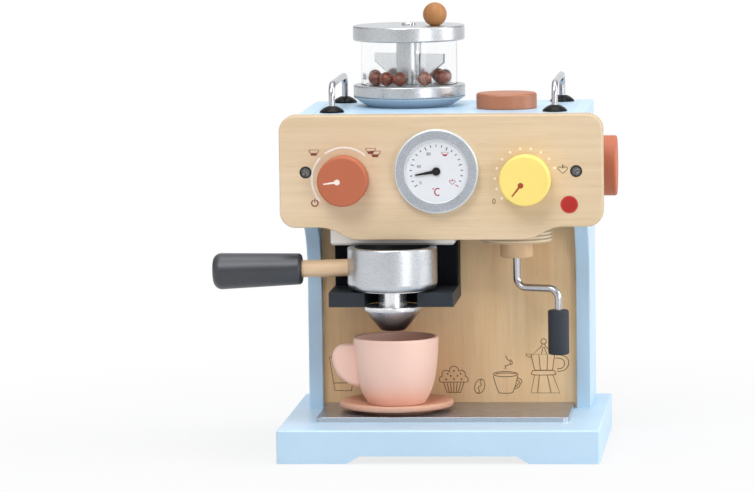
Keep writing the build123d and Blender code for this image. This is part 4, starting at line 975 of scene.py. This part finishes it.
def steaming_cup():
    """Round cup with a handle and two curls of steam."""
    rim = arc_points((0, 13.7), 8.8, 0, 352, 44, 0.21)
    drink = arc_points((0.2, 13.5), 7.6, 8, 172, 24, 0.13)
    side = curve_through([
        (-8.7, 12.6), (-7.6, 8.0), (-5.6, 2.2), (-3.9, 0.2), (3.9, 0.2), (5.7, 2.2), (7.6, 7.6), (8.7, 12.6)
    ])
    handle = curve_through([
        (8.5, 10.8), (10.6, 10.2), (11.6, 8.3), (10.4, 6.6), (9.6, 4.7), (7.4, 3.4), (6.2, 3.5)
    ])
    inner = curve_through([(8.0, 9.0), (9.4, 8.9), (9.8, 7.8), (8.8, 6.6), (8.0, 5.2), (6.8, 4.9)])
    steam = curve_through([
        (-0.4, 17.4), (0.3, 18.6), (-0.2, 19.6), (1.9, 20.2), (3.4, 21.0), (3.3, 22.8), (1.8, 24.0),
        (0.8, 25.4), (0.3, 27.0),
    ])
    wisp = curve_through([(3.6, 20.4), (4.9, 21.4), (4.5, 23.0), (3.2, 24.3)])
    return [(rim, True)] + [(line, False) for line in (drink, side, handle, inner, steam, wisp)]


def stove_pot():
    """Faceted stove-top pot with a lid, a beak and a loop handle."""
    band = curve_through([(-7.6, 16.3), (-8.2, 15.1), (-7.6, 13.2), (7.6, 13.2), (8.2, 14.7), (7.6, 16.3)], 3)
    loop = curve_through([
        (8.4, 27.6), (13.8, 27.0), (17.4, 24.4), (17.6, 20.0), (15.4, 17.0), (11.6, 15.6), (9.6, 16.0)
    ])
    inner_loop = curve_through([
        (8.4, 25.2), (12.4, 24.8), (14.8, 22.6), (14.6, 19.6), (12.6, 17.8), (9.8, 17.6)
    ])
    return [
        (arc_points((0.2, 37.1), 1.9, 0, 345, 24), True),
        ([(-0.6, 35.2), (-1.9, 33.0), (-7.5, 27.9), (7.7, 27.9), (2.0, 33.2), (0.9, 35.2)], False),
        ([(-0.2, 33.4), (-1.3, 28.0)], False), ([(0.7, 33.4), (2.3, 28.0)], False),
        ([(-12.6, 28.3), (-7.5, 27.9), (-9.2, 25.6), (-12.0, 27.0), (-12.6, 28.3)], True),
        ([(-8.9, 27.8), (-6.3, 16.6)], False), ([(8.0, 27.9), (6.4, 16.6)], False),
        ([(-3.2, 27.7), (-2.3, 16.6)], False), ([(3.0, 27.7), (2.5, 16.6)], False),
        ([(-6.2, 16.5), (6.4, 16.5)], False), (band, True),
        ([(-6.4, 13.0), (-9.1, 0.2), (11.4, 0.2), (6.6, 13.0)], True),
        ([(-3.0, 13.0), (-4.4, 0.4)], False), ([(2.6, 13.0), (5.2, 0.4)], False),
        (loop, False), (inner_loop, False),
    ]


def add_drawings():
    """Kitchen figures burnt into the wood behind the cup."""
    row = (
        (tumbler, -76.5, 35.3), (muffin, 2.5, 33.8), (bean, 21.0, 33.2), (steaming_cup, 39.5, 33.2),
        (stove_pot, 66.6, 33.2),
    )
    for figure, x, z in row:
        lines = [(moved(points, x, z), closed) for points, closed in figure()]
        name = "drawing_" + figure.__name__
        add_print(name, stroke_mesh(name, lines, LINE, BACK), "burnt")


# ---------------------------------------------------------------- studio
def add_camera():
    data = bpy.data.cameras.new("camera")
    data.sensor_width = 36.0
    data.sensor_fit = "HORIZONTAL"
    data.lens = CAMERA_LENS
    data.clip_end = 100.0
    a, e, r = CAMERA_AZIMUTH, CAMERA_ELEVATION, CAMERA_ROLL
    back = Vector((math.sin(a) * math.cos(e), -math.cos(a) * math.cos(e), math.sin(e)))
    right = Vector((math.cos(a), math.sin(a), 0))
    up = back.cross(right)
    rolled = (right * math.cos(r) + up * math.sin(r), up * math.cos(r) - right * math.sin(r), back)
    camera = bpy.data.objects.new("camera", data)
    camera.matrix_world = Matrix.Translation(CAMERA_PLACE) @ Matrix(rolled).transposed().to_4x4()
    bpy.context.scene.collection.objects.link(camera)
    bpy.context.scene.camera = camera


def add_lamp(name, place, aim, size, power):
    data = bpy.data.lights.new(name, "AREA")
    data.shape = "RECTANGLE"
    data.size, data.size_y = size
    data.energy = power
    lamp = bpy.data.objects.new(name, data)
    lamp.location = place
    lamp.rotation_mode = "QUATERNION"
    lamp.rotation_quaternion = (Vector(place) - Vector(aim)).to_track_quat("Z", "Y")
    bpy.context.scene.collection.objects.link(lamp)


def seen_as_white(graph):
    """1 where the camera or a clear piece looks straight at the backdrop."""
    camera = graph.node("ShaderNodeLightPath", out="Is Camera Ray")
    return camera.most(graph.node("ShaderNodeLightPath", out="Is Transmission Ray"))


def background(graph, colour, strength):
    return graph.node("ShaderNodeBackground", inputs={"Color": rgba(colour), "Strength": strength})


def add_world():
    """White to the eye, a softer even light on the object, and darker sides in its reflections."""
    world = bpy.data.worlds.new("studio")
    bpy.context.scene.world = world
    world.use_nodes = True
    graph = Graph(world.node_tree)
    x, y, z = graph.split(graph.node("ShaderNodeTexCoord", out="Generated"))
    facing = 0.5 - 0.5 * y / (x * x + y * y + 0.0001).root()
    round_about = graph.ramp(
        facing, (0.0, 1.0), (0.03, 0.95), (0.10, 0.30), (0.22, 0.26), (0.5, 0.72), (0.80, 1.0),
        (0.93, 0.85), (1.0, 0.42),
    )
    above = graph.spread(z, 0.25, 0.8, 0.0, 0.9)
    mirrored = background(graph, (0.98, 0.99, 1.0), above.most(round_about))
    lit = background(graph, (0.97, 0.985, 1.0), graph.spread(z, -0.05, 0.7, 0.24, 0.50))
    white = background(graph, (1, 1, 1), 1.0)
    is_glossy = graph.node("ShaderNodeLightPath", out="Is Glossy Ray")
    unseen = graph.node("ShaderNodeMixShader", inputs=[is_glossy, lit, mirrored])
    shown = graph.node("ShaderNodeMixShader", inputs=[seen_as_white(graph), unseen, white])
    output = graph.tree.nodes.new("ShaderNodeOutputWorld")
    graph.tree.links.new(shown.socket, output.inputs[0])


def add_floor():
    """White floor that keeps a soft trace of the shadow near the object."""
    mesh = bpy.data.meshes.new("floor")
    reach = 12.0
    corners = [(-reach, -reach, 0), (reach, -reach, 0), (reach, reach, 0), (-reach, reach, 0)]
    mesh.from_pydata(corners, [], [(0, 1, 2, 3)])
    material = bpy.data.materials.new("studio floor")
    material.use_nodes = True
    graph = Graph(material.node_tree)
    x, y, z = graph.split(graph.node("ShaderNodeTexCoord", out="Object"))
    away = (x * x + y * y).root()
    share = graph.spread(away, 0.16, 0.55, 0.80, 1.0)
    glossy = graph.node("ShaderNodeLightPath", out="Is Glossy Ray")
    share = share * seen_as_white(graph).most(glossy)
    paint = graph.node("ShaderNodeBsdfDiffuse", inputs={"Color": (0.68, 0.685, 0.69, 1)})
    glow = graph.node("ShaderNodeEmission", inputs={"Color": (1, 1, 1, 1), "Strength": 1.0})
    whole = graph.node("ShaderNodeMixShader", inputs=[share, paint, glow])
    output = graph.tree.nodes.new("ShaderNodeOutputMaterial")
    graph.tree.links.new(whole.socket, output.inputs[0])
    mesh.materials.append(material)
    floor = bpy.data.objects.new("floor", mesh)
    floor.location.z = -0.2 * MM
    bpy.context.scene.collection.objects.link(floor)


def add_studio():
    bpy.context.scene.view_settings.view_transform = "Standard"
    add_camera()
    add_world()
    add_floor()
    middle = (0, 0, 0.15)
    add_lamp("key", (-0.6, -1.8, 2.0), middle, (1.2, 1.2), 26)
    add_lamp("top", (0.1, -0.1, 2.2), middle, (1.6, 1.6), 21)
    add_lamp("right side", (2.1, 0.1, 0.9), middle, (1.0, 1.4), 25)
    add_lamp("right front", (1.5, -1.9, 0.35), middle, (0.9, 0.9), 9.5)


dress_nodes()
add_panel_prints()
add_dial_prints()
add_pointers()
add_drawings()
add_studio()
